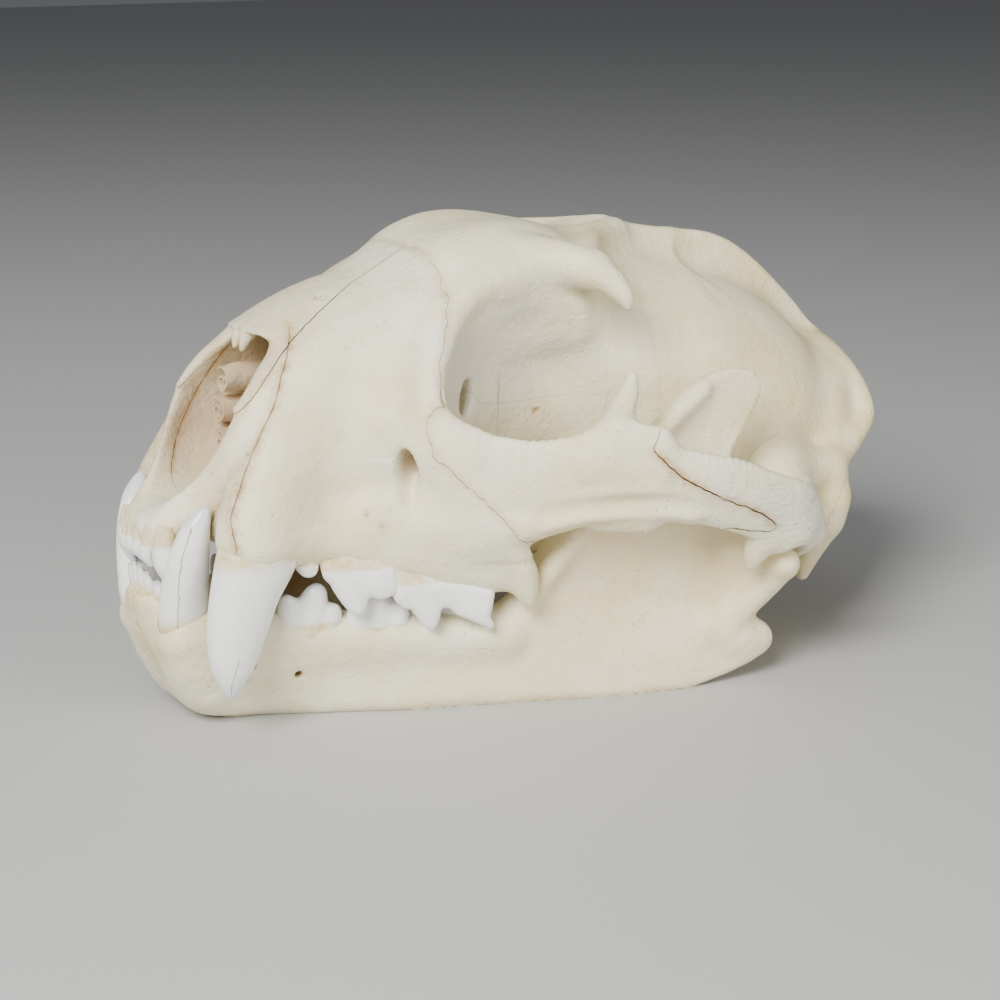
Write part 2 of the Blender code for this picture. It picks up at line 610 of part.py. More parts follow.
def volume(points, faces):
    total = 0.0
    for face in faces:
        for b, c in zip(face[1:], face[2:]):
            total += points[face[0]] @ np.cross(points[b], points[c])
    return total / 6


def outward(name, points, faces):
    """A closed mesh whose faces point out."""
    points = np.array(points, float)
    if volume(points, faces) < 0:
        faces = [face[::-1] for face in faces]
    return newObject(name, points, faces)


def largest(thing):
    """Keeps only the largest body of a mesh."""
    points, faces = max(pieces(thing), key=lambda body: volume(*body))
    name = thing.name
    bpy.data.objects.remove(thing)
    return newObject(name, points, faces)


def cleaned(thing):
    """Merges points that cuts left side by side, where the mesh stays closed by it."""
    for reach in (0.08, 0.04, 0.02):
        work = bmesh.new()
        work.from_mesh(thing.data)
        bmesh.ops.remove_doubles(work, verts=work.verts, dist=reach)
        bmesh.ops.dissolve_degenerate(work, edges=work.edges, dist=reach / 4)
        bmesh.ops.triangulate(work, faces=work.faces)
        closed = all(len(edge.link_faces) == 2 for edge in work.edges)
        simple = all(len(vert.link_edges) == len(vert.link_faces) for vert in work.verts)
        if closed and simple:
            work.to_mesh(thing.data)
        work.free()
        if closed and simple:
            break
    return thing


# Cuts along the sutures

def strip(path, ways, back, ahead, gap=sutureGap):
    """A thin sheet: each point of a path swept along its way, from back to ahead."""
    path, ways = np.array(path, float), np.array(ways, float)
    ways = ways / np.linalg.norm(ways, axis=1)[:, None]
    run = np.gradient(path, axis=0)
    normal = np.cross(run, ways)
    normal = normal / np.linalg.norm(normal, axis=1)[:, None] * gap / 2
    back = np.broadcast_to(np.array(back, float), len(path))[:, None]
    ahead = np.broadcast_to(np.array(ahead, float), len(path))[:, None]
    near, far = path - ways * back, path + ways * ahead
    points = np.concatenate([near - normal, far - normal, far + normal, near + normal])
    n = len(path)
    faces = [(0, n, 2 * n, 3 * n), (n - 1, 4 * n - 1, 3 * n - 1, 2 * n - 1)]
    for i in range(n - 1):
        for row in range(4):
            a, b = row * n + i, (row + 1) % 4 * n + i
            # both sides of the sheet are halved the same way, so it keeps its thickness
            faces += [(a, a + 1, b), (a + 1, b + 1, b)] if row == 2 else [(a, a + 1, b + 1), (a, b + 1, b)]
    return outward("sheet", points, faces)


def across(path, inner, outer, side):
    """A sheet along an x-z path, running sideways from inner to outer y."""
    points = [(x, side * inner, z) for x, z in path]
    return strip(points, [(0, side, 0)] * len(path), 0, outer - inner)


def upright(path, low, high, side):
    """A sheet along an x-y path, running up from low to high z."""
    points = [(x, side * y, low) for x, y in path]
    return strip(points, [(0, 0, 1)] * len(path), 0, high - low)


nasalSeam = [(16, 17.4, 68.4), (21.4, 16.6, 71.6), (29.2, 16, 79.5), (37, 14.8, 87.3), (48.3, 12, 94.7),
             (55.6, 10, 99.6),
             (61, 8.5, 101.4), (66, 6.6, 103), (70, 5.4, 104.4)]
nasalAxis = [(16, 69), (37, 77), (48, 85), (61, 93), (72, 97)]
nasalEnd = [(70, 94.6), (62, 91), (52, 85)]
premaxillaSeam = [(17.5, 34), (15.4, 42), (15, 50), (16.4, 54), (19.6, 60), (25, 69), (29.5, 76),
                  (36.6, 87.6)]
frontalSeam = [(67, 114), (69.4, 101), (67.8, 92.5), (64.4, 84.5), (62.5, 78.5), (61.4, 73), (63, 71.2),
               (76, 70.4),
               (84, 66.4), (123, 66.2)]
coronalSeam = [(121, 114), (123, 92), (121.5, 60)]
palateSeam = [(85, 72), (84, 40), (86, 10)]
jugalSeam = [(62.4, 72), (58.6, 70.8), (56.6, 68), (57.6, 62), (60.4, 58.4), (66.4, 51.8), (71.4, 46),
             (75, 42), (88, 41)]
jugalInner = [(53, 26), (60, 30.4), (70, 35.2), (86, 40.5)]
archSeam = [(103, 73), (98.8, 65.6), (97.8, 62.6), (104, 56.4), (113.5, 50.8), (123, 46.4), (129, 42.4),
            (128, 40.8), (122, 41.6),
            (117, 42.2), (113, 36)]
archRootSeam = [(124, 36), (146, 37.5), (151.6, 39.5), (152.6, 60)]
sphenoidSeam = [(112, 67), (110, 48), (113, 36), (112, 10)]
occiputSeam = [(183, 100), (180, 74), (173, 52), (166, 34), (162, 10)]


def sheets():
    """The thin cuts that part the skull into its bones."""
    yield strip([(-6, 0, 8), (-6, 0, 114)], [(1, 0, 0)] * 2, 0, 92.3)
    yield strip([(80, 0, 66.2), (80, 0, 114)], [(1, 0, 0)] * 2, 0, 44)
    for side in (-1, 1):
        seam = [(x, side * y, z) for x, y, z in nasalSeam]
        axis = np.interp([p[0] for p in seam], *np.transpose(nasalAxis))
        ways = [(0, -side * max(y, 3), middle - z) for (x, y, z), middle in zip(nasalSeam, axis)]
        yield strip(seam, ways, 6, [8, 8, 10, 13, 15, 16, 16, 15, 13])
        yield across(premaxillaSeam[3:], 6, 30, side)
        yield across(premaxillaSeam[:5], -1, 30, side)
        yield upright(jugalInner, 38, 77, side)
        yield across(jugalSeam, 24, 56, side)
        yield across(archSeam, 44, 76, side)
        yield upright(archRootSeam, 22, 64, side)
    yield across(nasalEnd, -8, 8, 1)
    yield across(frontalSeam, -43, 43, 1)
    yield across(coronalSeam, -60, 60, 1)
    yield across(palateSeam, -43, 43, 1)
    yield across(sphenoidSeam, -24, 24, 1)
    yield across(occiputSeam, -60, 60, 1)


# Middle of each bone's box, by which it is known
boneMiddles = {
    "nasal": (45, 8, 88), "premaxilla": (17, 10, 64), "maxilla": (50, 18, 64), "frontal": (92, 18, 88),
    "jugal": (94, 44, 56), "zygomatic_process": (124, 52, 47),
}
middleBones = {"palatine": (103, 0, 48), "braincase": (145, 0, 58), "occiput": (180, 0, 48)}


def partedSkull(skull):
    for sheet in sheets():
        boolean(skull, sheet, "DIFFERENCE")
    bodies = sorted(pieces(skull), key=lambda body: -volume(*body))
    wanted = {name: np.array(middle, float) for name, middle in middleBones.items()}
    for name, (x, y, z) in boneMiddles.items():
        wanted[name + "_left"] = np.array((x, -y, z))
        wanted[name + "_right"] = np.array((x, y, z))
    found = {}
    for points, faces in bodies:
        middle = (points.min(0) + points.max(0)) / 2
        name = min(wanted, key=lambda n: np.linalg.norm(wanted[n] - middle))
        if name not in found:
            found[name] = newObject(name, points, faces)
    bpy.data.objects.remove(skull)
    return found


# Teeth

def spike(rows, sides=8, count=2):
    """A tooth turned round a bent spine; rows are x, y, z, half length fore and aft, half breadth."""
    rows = curveThrough(rows, count)
    points, faces = [], []
    for i, (x, y, z, long, broad) in enumerate(rows):
        ahead = rows[min(i + 1, len(rows) - 1), :3] - rows[max(i - 1, 0), :3]
        ahead = ahead / np.linalg.norm(ahead)
        side = np.cross(ahead, (1, 0, 0))
        side = side / np.linalg.norm(side)
        front = np.cross(side, ahead)
        for k in range(sides):
            turn = 2 * math.pi * k / sides
            points.append(np.array((x, y,
                                    z)) + front * long * math.cos(turn) + side * broad * math.sin(turn))
    last = len(rows) - 1
    for i in range(last):
        for k in range(sides):
            a, b = i * sides + k, i * sides + (k + 1) % sides
            faces.append((a, b, b + sides, a + sides))
    faces.append(tuple(range(sides))[::-1])
    faces.append(tuple(last * sides + k for k in range(sides)))
    return points, faces


def grown(rows, by):
    """A canine's rows made larger by a gap, to cut its socket."""
    return [(x, y, z, a + by, b + by) for x, y, z, a, b in rows]


upperCanine = [(27.6, 19.6, 56, 6.8, 4.8), (25.2, 21.4, 49.5, 8.6, 5.3), (21.6, 22.9, 41.9, 9.1, 5.6),
               (18.2, 23.3, 33.8, 7.8, 5.1), (16, 23.4, 25.3, 6.1, 4.3), (14.9, 23.2, 18.1, 4.3, 3.2),
               (14.6, 22.9, 13.2, 2.3, 1.9), (14.5, 22.7, 11.2, 0.9, 0.7)]
lowerCanine = [(13.6, 8.8, 14, 3.8, 3.2), (11.6, 9.4, 19, 4.8, 3.8), (9.6, 10.3, 24.5, 5.5, 4.2),
               (9.4, 11.5, 31.7, 5.5, 4.1),
               (9.7, 13.8, 39.9, 4.7, 3.6), (10.7, 15.8, 46.8, 3.4, 2.8), (12.2, 17, 50.8, 1.8, 1.6),
               (13, 17.4, 52.4, 0.7, 0.6)]


# Cheek teeth: each is a set of rounded cusps, given as a rod and how much longer than broad it is
cheekTeeth = {
    "upper second premolar": [([(33.4, 22.4, 41, 1.8), (33.4, 22.6, 38, 2), (33.6, 23, 36.6, 1.5)], 1.3)],
    "upper third premolar": [
        ([(41.4, 24.4, 38.6, 2.8), (42, 25.2, 34, 2.9), (42.8, 26.2, 30, 2.2), (43.2, 27, 27.4, 1.3),
          (43.3, 27.2, 26.4, 0.7)], 1.45),
        ([(37.8, 23.6, 39, 1.9), (38.2, 24.2, 35.6, 1.6)], 1),
        ([(47, 26.2, 37.6, 2.8), (47.8, 27.2, 33, 2.7), (48.6, 27.8, 31, 2)], 1.25),
        ([(50.4, 28.2, 35.4, 1.9), (50.8, 28.8, 31.4, 1.3)], 1)],
    "upper carnassial": [
        ([(53, 28, 35, 2.3), (53.4, 28.8, 30, 2.2), (54, 29.6, 27.6, 1.2)], 1.1),
        ([(57.6, 29, 34, 3), (58, 29.6, 29, 3), (58.7, 30.8, 25, 2.1), (58.9, 31.6, 22.6, 1.1),
          (58.9, 31.8, 21.8, 0.6)], 1.35),
        ([(55, 28.6, 31.6, 2.6), (62, 30.8, 30.4, 2.9), (68, 32.8, 29.2, 3), (71, 34.2, 28.2, 2.4)], 1),
        ([(62.6, 31.4, 28, 2), (67, 33.2, 26.4, 2.4), (70.4, 34.6, 25.4, 2.2)], 1),
        ([(66, 33.6, 25, 1.3), (69, 34.8, 23.4, 1.4), (71.2, 35.8, 21.6, 0.9),
          (71.4, 35.9, 20.8, 0.6)], 1.3)],
    "upper molar": [([(73.4, 30.2, 32, 2), (73.6, 30, 29, 1.5)], 1)],
    "lower third premolar": [
        ([(35.4, 18.4, 21, 2.8), (36, 18.7, 26, 2.8), (36.8, 19.5, 29.8, 2), (37, 20, 31.4, 1.1)], 1.35),
        ([(31.2, 17.3, 23, 2.2), (31, 17.7, 27.6, 2), (30.6, 18.2, 29.2, 1.2)], 1.1),
        ([(40, 19.4, 21, 2.3), (40.4, 20, 24.8, 2.1), (41, 20.6, 26, 1.1)], 1.1)],
    "lower fourth premolar": [
        ([(50, 22.2, 19, 2.9), (50.4, 22.6, 25, 2.7), (50.8, 23, 29, 1.6), (51, 23.2, 31, 0.8)], 1.35),
        ([(46, 21.2, 20, 2.3), (46, 21.6, 25, 2), (46, 21.9, 26.8, 1)], 1.1),
        ([(54.8, 23.8, 20, 2.4), (55, 24.2, 24.4, 2.1), (55.2, 24.4, 26.2, 1)], 1.1)],
    "lower carnassial": [
        ([(61, 23.4, 18, 2.4), (61.4, 23.6, 24, 2.2), (62, 23.9, 27.4, 1.2), (62.2, 24, 28.8, 0.7)], 1.6),
        ([(68.6, 26.2, 18, 2.4), (69, 26.4, 24, 2.1), (69.4, 26.6, 27.6, 1.1), (69.6, 26.6, 29, 0.7)], 1.6),
        ([(60, 23.2, 19.8, 2.3), (65, 24.8, 19.4, 2.4), (71, 27, 19, 2.2)], 1)],
}


def cuspedTooth(cusps, step):
    """One cheek tooth blended from its cusps, each longer fore and aft than across."""
    ends = np.array([row for rods, ratio in cusps for row in rods])
    reach = ends[:, 3].max() * 1.7 + 2 * step
    clay = Clay(ends[:, :3].min(0) - reach, ends[:, :3].max(0) + reach, step)
    for rods, ratio in cusps:
        clay.add(bar(rods, ((1, 0.35, 0), ratio)), 1.6)
    return meshOf(clay.field, clay.low, step, False)


# x, y, gum height, tip height, half breadth, from the middle outwards
upperIncisors = [(1.5, 2.1, 44.2, 38.8, 1.5), (2.5, 5.7, 43.6, 37.8, 1.6), (4.6, 10, 43.6, 35.2, 2.1)]
lowerIncisors = [(2.8, 1.5, 31.6, 37.6, 1.2), (3.6, 4.2, 31.2, 36.6, 1.3), (5.4, 7, 30.4, 34.4, 1.5)]


def incisorRows(x, y, gum, tip, half, lean):
    up = 1 if tip > gum else -1
    return [(x + 1.2, y, gum - 4 * up, half * 0.9, half * 0.6), (x + 0.6, y, gum, half * 1.1, half * 0.9),
            (x, y, (gum + tip) / 2, half * 0.9, half), (x + lean, y, tip, half * 0.4, half * 0.8)]


def turned(shape, side):
    points, faces = shape
    return [(p[0], side * abs(p[1]) if p[1] > 0 else side * p[1], p[2]) for p in points], faces


def rooted(bone, shapes, side):
    """Joins teeth to their bone and keeps the one closed body."""
    for shape in shapes:
        tooth = outward("tooth", *turned(shape, side))
        boolean(bone, tooth, "UNION")
    return largest(bone)


# Assembly

def main():
    for thing in list(bpy.data.objects):
        bpy.data.objects.remove(thing)

    clay = cranium(grain)
    points, faces = meshOf(clay.field, clay.low, grain, True)
    skull = thinned(newObject("skull", points, faces), skullTriangles, True)
    clay = jaw(grain)
    points, faces = meshOf(clay.field, clay.low, grain, False)
    jawMesh = thinned(newObject("jaw", points, faces), jawTriangles, False)
    jawPoints = np.array([v.co for v in jawMesh.data.vertices])
    jawFaces = [tuple(f.vertices) for f in jawMesh.data.polygons]
    bpy.data.objects.remove(jawMesh)
    jawPoints[jawPoints[:, 2] < 0.3, 2] = 0     # the flats it rests on

    bones = partedSkull(skull)
    molars = {}
    for tooth, cusps in cheekTeeth.items():
        shape = thinned(newObject(tooth, *cuspedTooth(cusps, toothGrain)), toothTriangles, False)
        points = [tuple(v.co) for v in shape.data.vertices]
        molars[tooth] = points, [tuple(f.vertices) for f in shape.data.polygons]
        bpy.data.objects.remove(shape)
    for name, side in (("left", -1), ("right", 1)):
        bones["mandible_" + name] = outward("mandible_" + name, jawPoints * (1, side, 1), jawFaces)
        uppers = [shape for tooth, shape in molars.items() if tooth.startswith("upper")]
        lowers = [shape for tooth, shape in molars.items() if tooth.startswith("lower")]
        bones["maxilla_" + name] = rooted(bones["maxilla_" + name], uppers, side)
        front = [spike(incisorRows(*tooth, 0.8), 6, 1) for tooth in upperIncisors]
        bones["premaxilla_" + name] = rooted(bones["premaxilla_" + name], front, side)
        lowers += [spike(incisorRows(*tooth, -0.6), 6, 1) for tooth in lowerIncisors]
        bones["mandible_" + name] = rooted(bones["mandible_" + name], lowers, side)
        for canineName, rows, hosts in (("upper_canine_", upperCanine, ("maxilla_", "premaxilla_")),
                                        ("lower_canine_", lowerCanine, ("mandible_", "premaxilla_"))):
            for host in hosts:
                socket = outward("socket", *turned(spike(grown(rows, toothGap)), side))
                boolean(bones[host + name], socket, "DIFFERENCE")
                bones[host + name] = largest(bones[host + name])
            bones[canineName + name] = outward(canineName + name, *turned(spike(rows), side))

    for name, thing in bones.items():
        thing.name = name
        cleaned(thing)
        for vertex in thing.data.vertices:
            vertex.co = (vertex.co - Vector((middleX, 0, 0))) * metre
        paint(thing)


def paint(thing):
    tooth = "canine" in thing.name
    finish = bpy.data.materials.new(thing.name)
    finish.use_nodes = True
    shader = finish.node_tree.nodes["Principled BSDF"]
    shader.inputs["Base Color"].default_value = (0.83, 0.82, 0.76, 1) if tooth else (0.80, 0.73, 0.58, 1)
    shader.inputs["Roughness"].default_value = 0.2 if tooth else 0.55
    shader.inputs["Metallic"].default_value = 0.0
    thing.data.materials.append(finish)
    thing.data.shade_smooth()
    thing.data.set_sharp_from_angle(angle=math.radians(40))


main()
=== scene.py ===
import math

import bpy
import numpy as np
from mathutils import Matrix, Vector


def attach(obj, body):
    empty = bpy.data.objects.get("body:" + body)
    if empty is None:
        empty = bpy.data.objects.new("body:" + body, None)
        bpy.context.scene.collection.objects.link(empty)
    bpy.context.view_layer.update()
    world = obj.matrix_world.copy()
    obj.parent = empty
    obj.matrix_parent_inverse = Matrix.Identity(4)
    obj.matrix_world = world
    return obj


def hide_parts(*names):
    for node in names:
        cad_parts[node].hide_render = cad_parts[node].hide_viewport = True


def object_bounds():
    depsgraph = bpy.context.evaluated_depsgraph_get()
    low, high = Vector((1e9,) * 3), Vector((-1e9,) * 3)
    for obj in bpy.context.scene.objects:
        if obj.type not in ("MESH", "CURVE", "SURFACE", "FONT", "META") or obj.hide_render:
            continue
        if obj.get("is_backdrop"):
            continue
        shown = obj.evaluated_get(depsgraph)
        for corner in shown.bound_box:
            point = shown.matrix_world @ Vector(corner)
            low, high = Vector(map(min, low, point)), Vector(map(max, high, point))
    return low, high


# Cougar skull at life size. Shapes are in millimetres: x runs back from the front of
# the upper jaw, y is the distance from the mid plane and z is the height over the table.
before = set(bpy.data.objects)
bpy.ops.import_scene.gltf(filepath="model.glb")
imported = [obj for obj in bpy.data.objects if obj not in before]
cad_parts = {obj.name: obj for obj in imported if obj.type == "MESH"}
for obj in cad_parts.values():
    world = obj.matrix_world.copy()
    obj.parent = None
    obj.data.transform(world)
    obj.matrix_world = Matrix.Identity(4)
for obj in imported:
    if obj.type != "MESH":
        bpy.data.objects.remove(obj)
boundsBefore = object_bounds()

middleX = 96.0
metre = 0.001
boneGrain = 0.65
toothGrain = 0.32
sutureGap = 0.16
toothGap = 0.1
sides = (("left", -1), ("right", 1))
# amount, cell size and seed of the smooth unevenness of each surface
unevenness = {"cranium": ((0.16, 9, 7), (0.05, 2.6, 17)), "mandible": ((0.14, 9, 37), (0.05, 2.6, 47)),
              "scrolls": (0.5, 5, 71)}


def curveThrough(points, count=8):
    # A smooth Catmull-Rom curve through rows of numbers.
    rows = np.asarray(points, float)
    first = 2 * rows[0] - rows[1]
    last = 2 * rows[-1] - rows[-2]
    rows = np.vstack([first, rows, last])
    out = []
    for a, b, c, d in zip(rows, rows[1:], rows[2:], rows[3:]):
        for t in np.linspace(0, 1, count, endpoint=False):
            out.append(0.5 * (2 * b + (c - a) * t + (2 * a - 5 * b + 4 * c - d) * t ** 2
                              + (3 * b - a - 3 * c + d) * t ** 3))
    out.append(rows[-2])
    return np.array(out)


def egg(centre, radii, pitch=0.0, roll=0.0):
    # An ellipsoid; pitch lowers its rear end, roll turns it about x, in degrees.
    centre = np.array(centre, float)
    reach = max(radii)
    cp, sp = math.cos(math.radians(pitch)), math.sin(math.radians(pitch))
    cr, sr = math.cos(math.radians(roll)), math.sin(math.radians(roll))

    def distance(x, y, z):
        dx, dy, dz = x - centre[0], y - centre[1], z - centre[2]
        along = dx * cp - dz * sp
        up = dx * sp + dz * cp
        side = dy * cr + up * sr
        up = up * cr - dy * sr
        a, b, c = along / radii[0], side / radii[1], up / radii[2]
        near = np.sqrt(a * a + b * b + c * c) + 1e-6
        slope = np.sqrt((a / radii[0]) ** 2 + (b / radii[1]) ** 2 + (c / radii[2]) ** 2) + 1e-6
        return near * (near - 1) / slope

    return centre - reach, centre + reach, distance


def bar(points, flat=None, count=5):
    # A rod through rows of x, y, z, radius; flat is (direction, ratio) for a strap's section.
    rows = curveThrough(points, count)
    spine, radius = rows[:, :3], rows[:, 3]
    reach = radius.max() * (flat[1] if flat else 1.0)
    wide = np.array(flat[0], float) / np.linalg.norm(flat[0]) if flat else None

    def distance(x, y, z):
        best = None
        for a, b, ra, rb in zip(spine, spine[1:], radius, radius[1:]):
            run = b - a
            size = run @ run
            t = np.clip(((x - a[0]) * run[0] + (y - a[1]) * run[1] + (z - a[2]) * run[2]) / size, 0, 1)
            dx, dy, dz = x - a[0] - t * run[0], y - a[1] - t * run[1], z - a[2] - t * run[2]
            square = dx * dx + dy * dy + dz * dz
            if flat:
                across = dx * wide[0] + dy * wide[1] + dz * wide[2]
                square = square - across * across * (1 - 1 / flat[1] ** 2)
            d = np.sqrt(np.maximum(square, 0)) - (ra + t * (rb - ra))
            best = d if best is None else np.minimum(best, d)
        return best

    return spine.min(0) - reach, spine.max(0) + reach, distance


def loft(stations):
    # A body along x. Each station is x, centre z, height up, height down, half width, squareness.
    rows = curveThrough(stations, 6)
    order = np.argsort(rows[:, 0])
    rows = rows[order]
    xs = rows[:, 0]

    def distance(x, y, z):
        flat = np.ravel(x)
        read = [np.interp(flat, xs, rows[:, i]).reshape(x.shape) for i in range(1, 6)]
        centre, up, down, wide, square = read
        high = np.where(z > centre, up, down)
        near = (np.abs(y / wide) ** square + np.abs((z - centre) / high) ** square) ** (1 / square)
        radial = (near - 1) * np.minimum(wide, high)
        ends = np.maximum(xs[0] - x, x - xs[-1])
        return np.maximum(radial, ends)

    low = np.array([xs[0], 0, (rows[:, 1] - rows[:, 3]).min()])
    high = np.array([xs[-1], rows[:, 4].max(), (rows[:, 1] + rows[:, 2]).max()])
    return low, high, distance


def outlineDistance(outline, x, z):
    # Signed distance in the x-z plane to a closed outline, on a flat grid of x and z.
    shape = np.broadcast(x, z).shape
    px = np.broadcast_to(x, shape)
    pz = np.broadcast_to(z, shape)
    best = np.full(shape, 1e9)
    inside = np.zeros(shape, bool)
    for (ax, az), (bx, bz) in zip(outline, np.roll(outline, -1, axis=0)):
        rx, rz = bx - ax, bz - az
        size = rx * rx + rz * rz + 1e-12
        t = np.clip(((px - ax) * rx + (pz - az) * rz) / size, 0, 1)
        best = np.minimum(best, (px - ax - t * rx) ** 2 + (pz - az - t * rz) ** 2)
        crosses = (az > pz) != (bz > pz)
        if rz:
            inside ^= crosses & (px < ax + rx * (pz - az) / rz)
    return np.where(inside, -1, 1) * np.sqrt(best)


def plate(outline, innerSide, outerSide, edge=2.0, high=70.0):
    # An upright plate with an x-z outline, between two surfaces y = side(x, z), its edges rounded.
    outline = np.asarray(outline, float)

    def distance(x, y, z):
        inPlane = outlineDistance(outline, x, z)
        middle = (innerSide(x, z) + outerSide(x, z)) / 2
        half = (outerSide(x, z) - innerSide(x, z)) / 2
        round_ = np.minimum(edge, half * 0.95)
        a = inPlane + round_
        b = np.abs(y - middle) - half + round_
        corner = np.sqrt(np.maximum(a, 0) ** 2 + np.maximum(b, 0) ** 2)
        return corner + np.minimum(np.maximum(a, b), 0) - round_

    low = np.array([outline[:, 0].min(), -5, outline[:, 1].min()])
    top = np.array([outline[:, 0].max(), high, outline[:, 1].max()])
    return low, top, distance


class Clay:
    # One side of a symmetric solid, as signed distances on a grid.

    def __init__(self, low, high, step):
        self.step = step
        self.low = np.array(low, float)
        self.axes = [a + step * np.arange(int((b - a) / step) + 2) for a, b in zip(low, high)]
        self.field = np.full([len(a) for a in self.axes], 60.0)

    def around(self, shape, margin):
        low, high, distance = shape
        cut = []
        for axis, a, b in zip(self.axes, low - margin, high + margin):
            start = int(np.searchsorted(axis, a))
            end = int(np.searchsorted(axis, b, "right"))
            cut.append(slice(max(start - 1, 0), max(end + 1, 1)))
        x, y, z = (axis[c] for axis, c in zip(self.axes, cut))
        return tuple(cut), distance(x[:, None, None], y[None, :, None], z[None, None, :])

    def add(self, shape, soft=4.0):
        cut, d = self.around(shape, soft + 2 * self.step)
        old = self.field[cut]
        lap = np.maximum(soft - np.abs(old - d), 0) / soft
        self.field[cut] = np.minimum(old, d) - lap * lap * soft / 4

    def carve(self, shape, soft=2.0):
        cut, d = self.around(shape, soft + 2 * self.step)
        old = self.field[cut]
        lap = np.maximum(soft - np.abs(old + d), 0) / soft
        self.field[cut] = np.maximum(old, -d) + lap * lap * soft / 4


def withoutTouchingCells(field, rounds=12):
    # Empties grid points where two corners meet only across a square or a cube, so the skin is simple.
    field = field.copy()
    for _ in range(rounds):
        solid = field < 0
        bad = np.zeros(field.shape, bool)
        for axis in range(3):
            a, b = [i for i in range(3) if i != axis]
            s = np.moveaxis(solid, (a, b, axis), (0, 1, 2))
            m = np.moveaxis(bad, (a, b, axis), (0, 1, 2))
            one = s[:-1, :-1] & s[1:, 1:] & ~s[1:, :-1] & ~s[:-1, 1:]
            two = ~s[:-1, :-1] & ~s[1:, 1:] & s[1:, :-1] & s[:-1, 1:]
            m[1:, 1:] |= one
            m[1:, :-1] |= two
        if not bad.any():
            break
        field[bad] = 0.02
    return field


def skin(field, low, step):
    # A quad mesh on the zero level of a grid, one point to each crossed cell.
    field = withoutTouchingCells(field)
    solid = field < 0
    size = np.array(field.shape) - 1
    count = np.zeros(size, np.uint8)
    corners = [(i, j, k) for i in (0, 1) for j in (0, 1) for k in (0, 1)]
    for i, j, k in corners:
        count += solid[i:i + size[0], j:j + size[1], k:k + size[2]]
    cells = np.argwhere((count > 0) & (count < 8))
    index = np.full(size, -1, np.int64)
    index[tuple(cells.T)] = np.arange(len(cells))
    value = {c: field[tuple((cells + c).T)] for c in corners}
    total = np.zeros((len(cells), 3))
    hits = np.zeros(len(cells))
    for a in corners:
        for axis in range(3):
            if a[axis]:
                continue
            b = tuple(v + (n == axis) for n, v in enumerate(a))
            crossed = (value[a] < 0) != (value[b] < 0)
            t = value[a][crossed] / (value[a][crossed] - value[b][crossed])
            point = np.tile(np.array(a, float), (len(t), 1))
            point[:, axis] += t
            total[crossed] += point
            hits[crossed] += 1
    points = (cells + total / hits[:, None]) * step + low
    faces = []
    for axis in range(3):
        a, b = [(1, 2), (2, 0), (0, 1)][axis]
        one = [slice(None)] * 3
        two = [slice(None)] * 3
        one[axis], two[axis] = slice(0, -1), slice(1, None)
        first, second = solid[tuple(one)], solid[tuple(two)]
        for start, flip in ((first & ~second, False), (~first & second, True)):
            edge = np.argwhere(start)
            inner = (edge[:, a] > 0) & (edge[:, b] > 0) & (edge[:, a] < size[a]) & (edge[:, b] < size[b])
            edge = edge[inner]
            ring = []
            for da, db in ((1, 1), (0, 1), (0, 0), (1, 0)):
                cell = edge.copy()
                cell[:, a] -= da
                cell[:, b] -= db
                ring.append(index[tuple(cell.T)])
            faces.append(np.stack(ring[::-1] if flip else ring, 1))
    return points, np.concatenate(faces)


def sample(field, low, step, points):
    # The field and its slope at points, read between the grid's corners.
    at = (points - low) / step
    base = np.clip(np.floor(at).astype(int), 0, np.array(field.shape) - 2)
    f = at - base
    v = {}
    for i in (0, 1):
        for j in (0, 1):
            for k in (0, 1):
                v[i, j, k] = field[base[:, 0] + i, base[:, 1] + j, base[:, 2] + k]
    fx, fy, fz = f.T
    def mix(a, b, t):
        return a + (b - a) * t
    x00, x10 = mix(v[0, 0, 0], v[1, 0, 0], fx), mix(v[0, 1, 0], v[1, 1, 0], fx)
    x01, x11 = mix(v[0, 0, 1], v[1, 0, 1], fx), mix(v[0, 1, 1], v[1, 1, 1], fx)
    low2, high2 = mix(x00, x10, fy), mix(x01, x11, fy)
    gz = high2 - low2
    gy = mix(x10 - x00, x11 - x01, fz)
    gx = mix(mix(v[1, 0, 0] - v[0, 0, 0], v[1, 1, 0] - v[0, 1, 0], fy),
        mix(v[1, 0, 1] - v[0, 0, 1], v[1, 1, 1] - v[0, 1, 1], fy), fz)
    return mix(low2, high2, fz), np.stack([gx, gy, gz], 1) / step


def meshOf(field, low, step, mirrored):
    # Points and quads of a clay field, eased along the surface and laid on its zero level.
    if mirrored:
        field = np.concatenate([field[:, :0:-1], field], 1)
        low = np.array([low[0], -step * (field.shape[1] // 2), low[2]])
    points, faces = skin(field, low, step)
    edges = np.concatenate([faces[:, [0, 1]], faces[:, [1, 2]], faces[:, [2, 3]], faces[:, [3, 0]]])
    degree = np.bincount(edges[:, 0], minlength=len(points))[:, None]
    for turn in range(4):
        if turn < 3:
            sums = np.zeros_like(points)
            for i in range(3):
                sums[:, i] = np.bincount(edges[:, 0], points[edges[:, 1], i], len(points))
            points = points + 0.5 * (sums / degree - points)
        d, slope = sample(field, low, step, points)
        size = (slope ** 2).sum(1) + 0.05
        move = -slope * (d / size)[:, None]
        reach = np.linalg.norm(move, axis=1)[:, None] + 1e-9
        points = points + move * np.minimum(1, 0.5 * step / reach)
    return points, faces


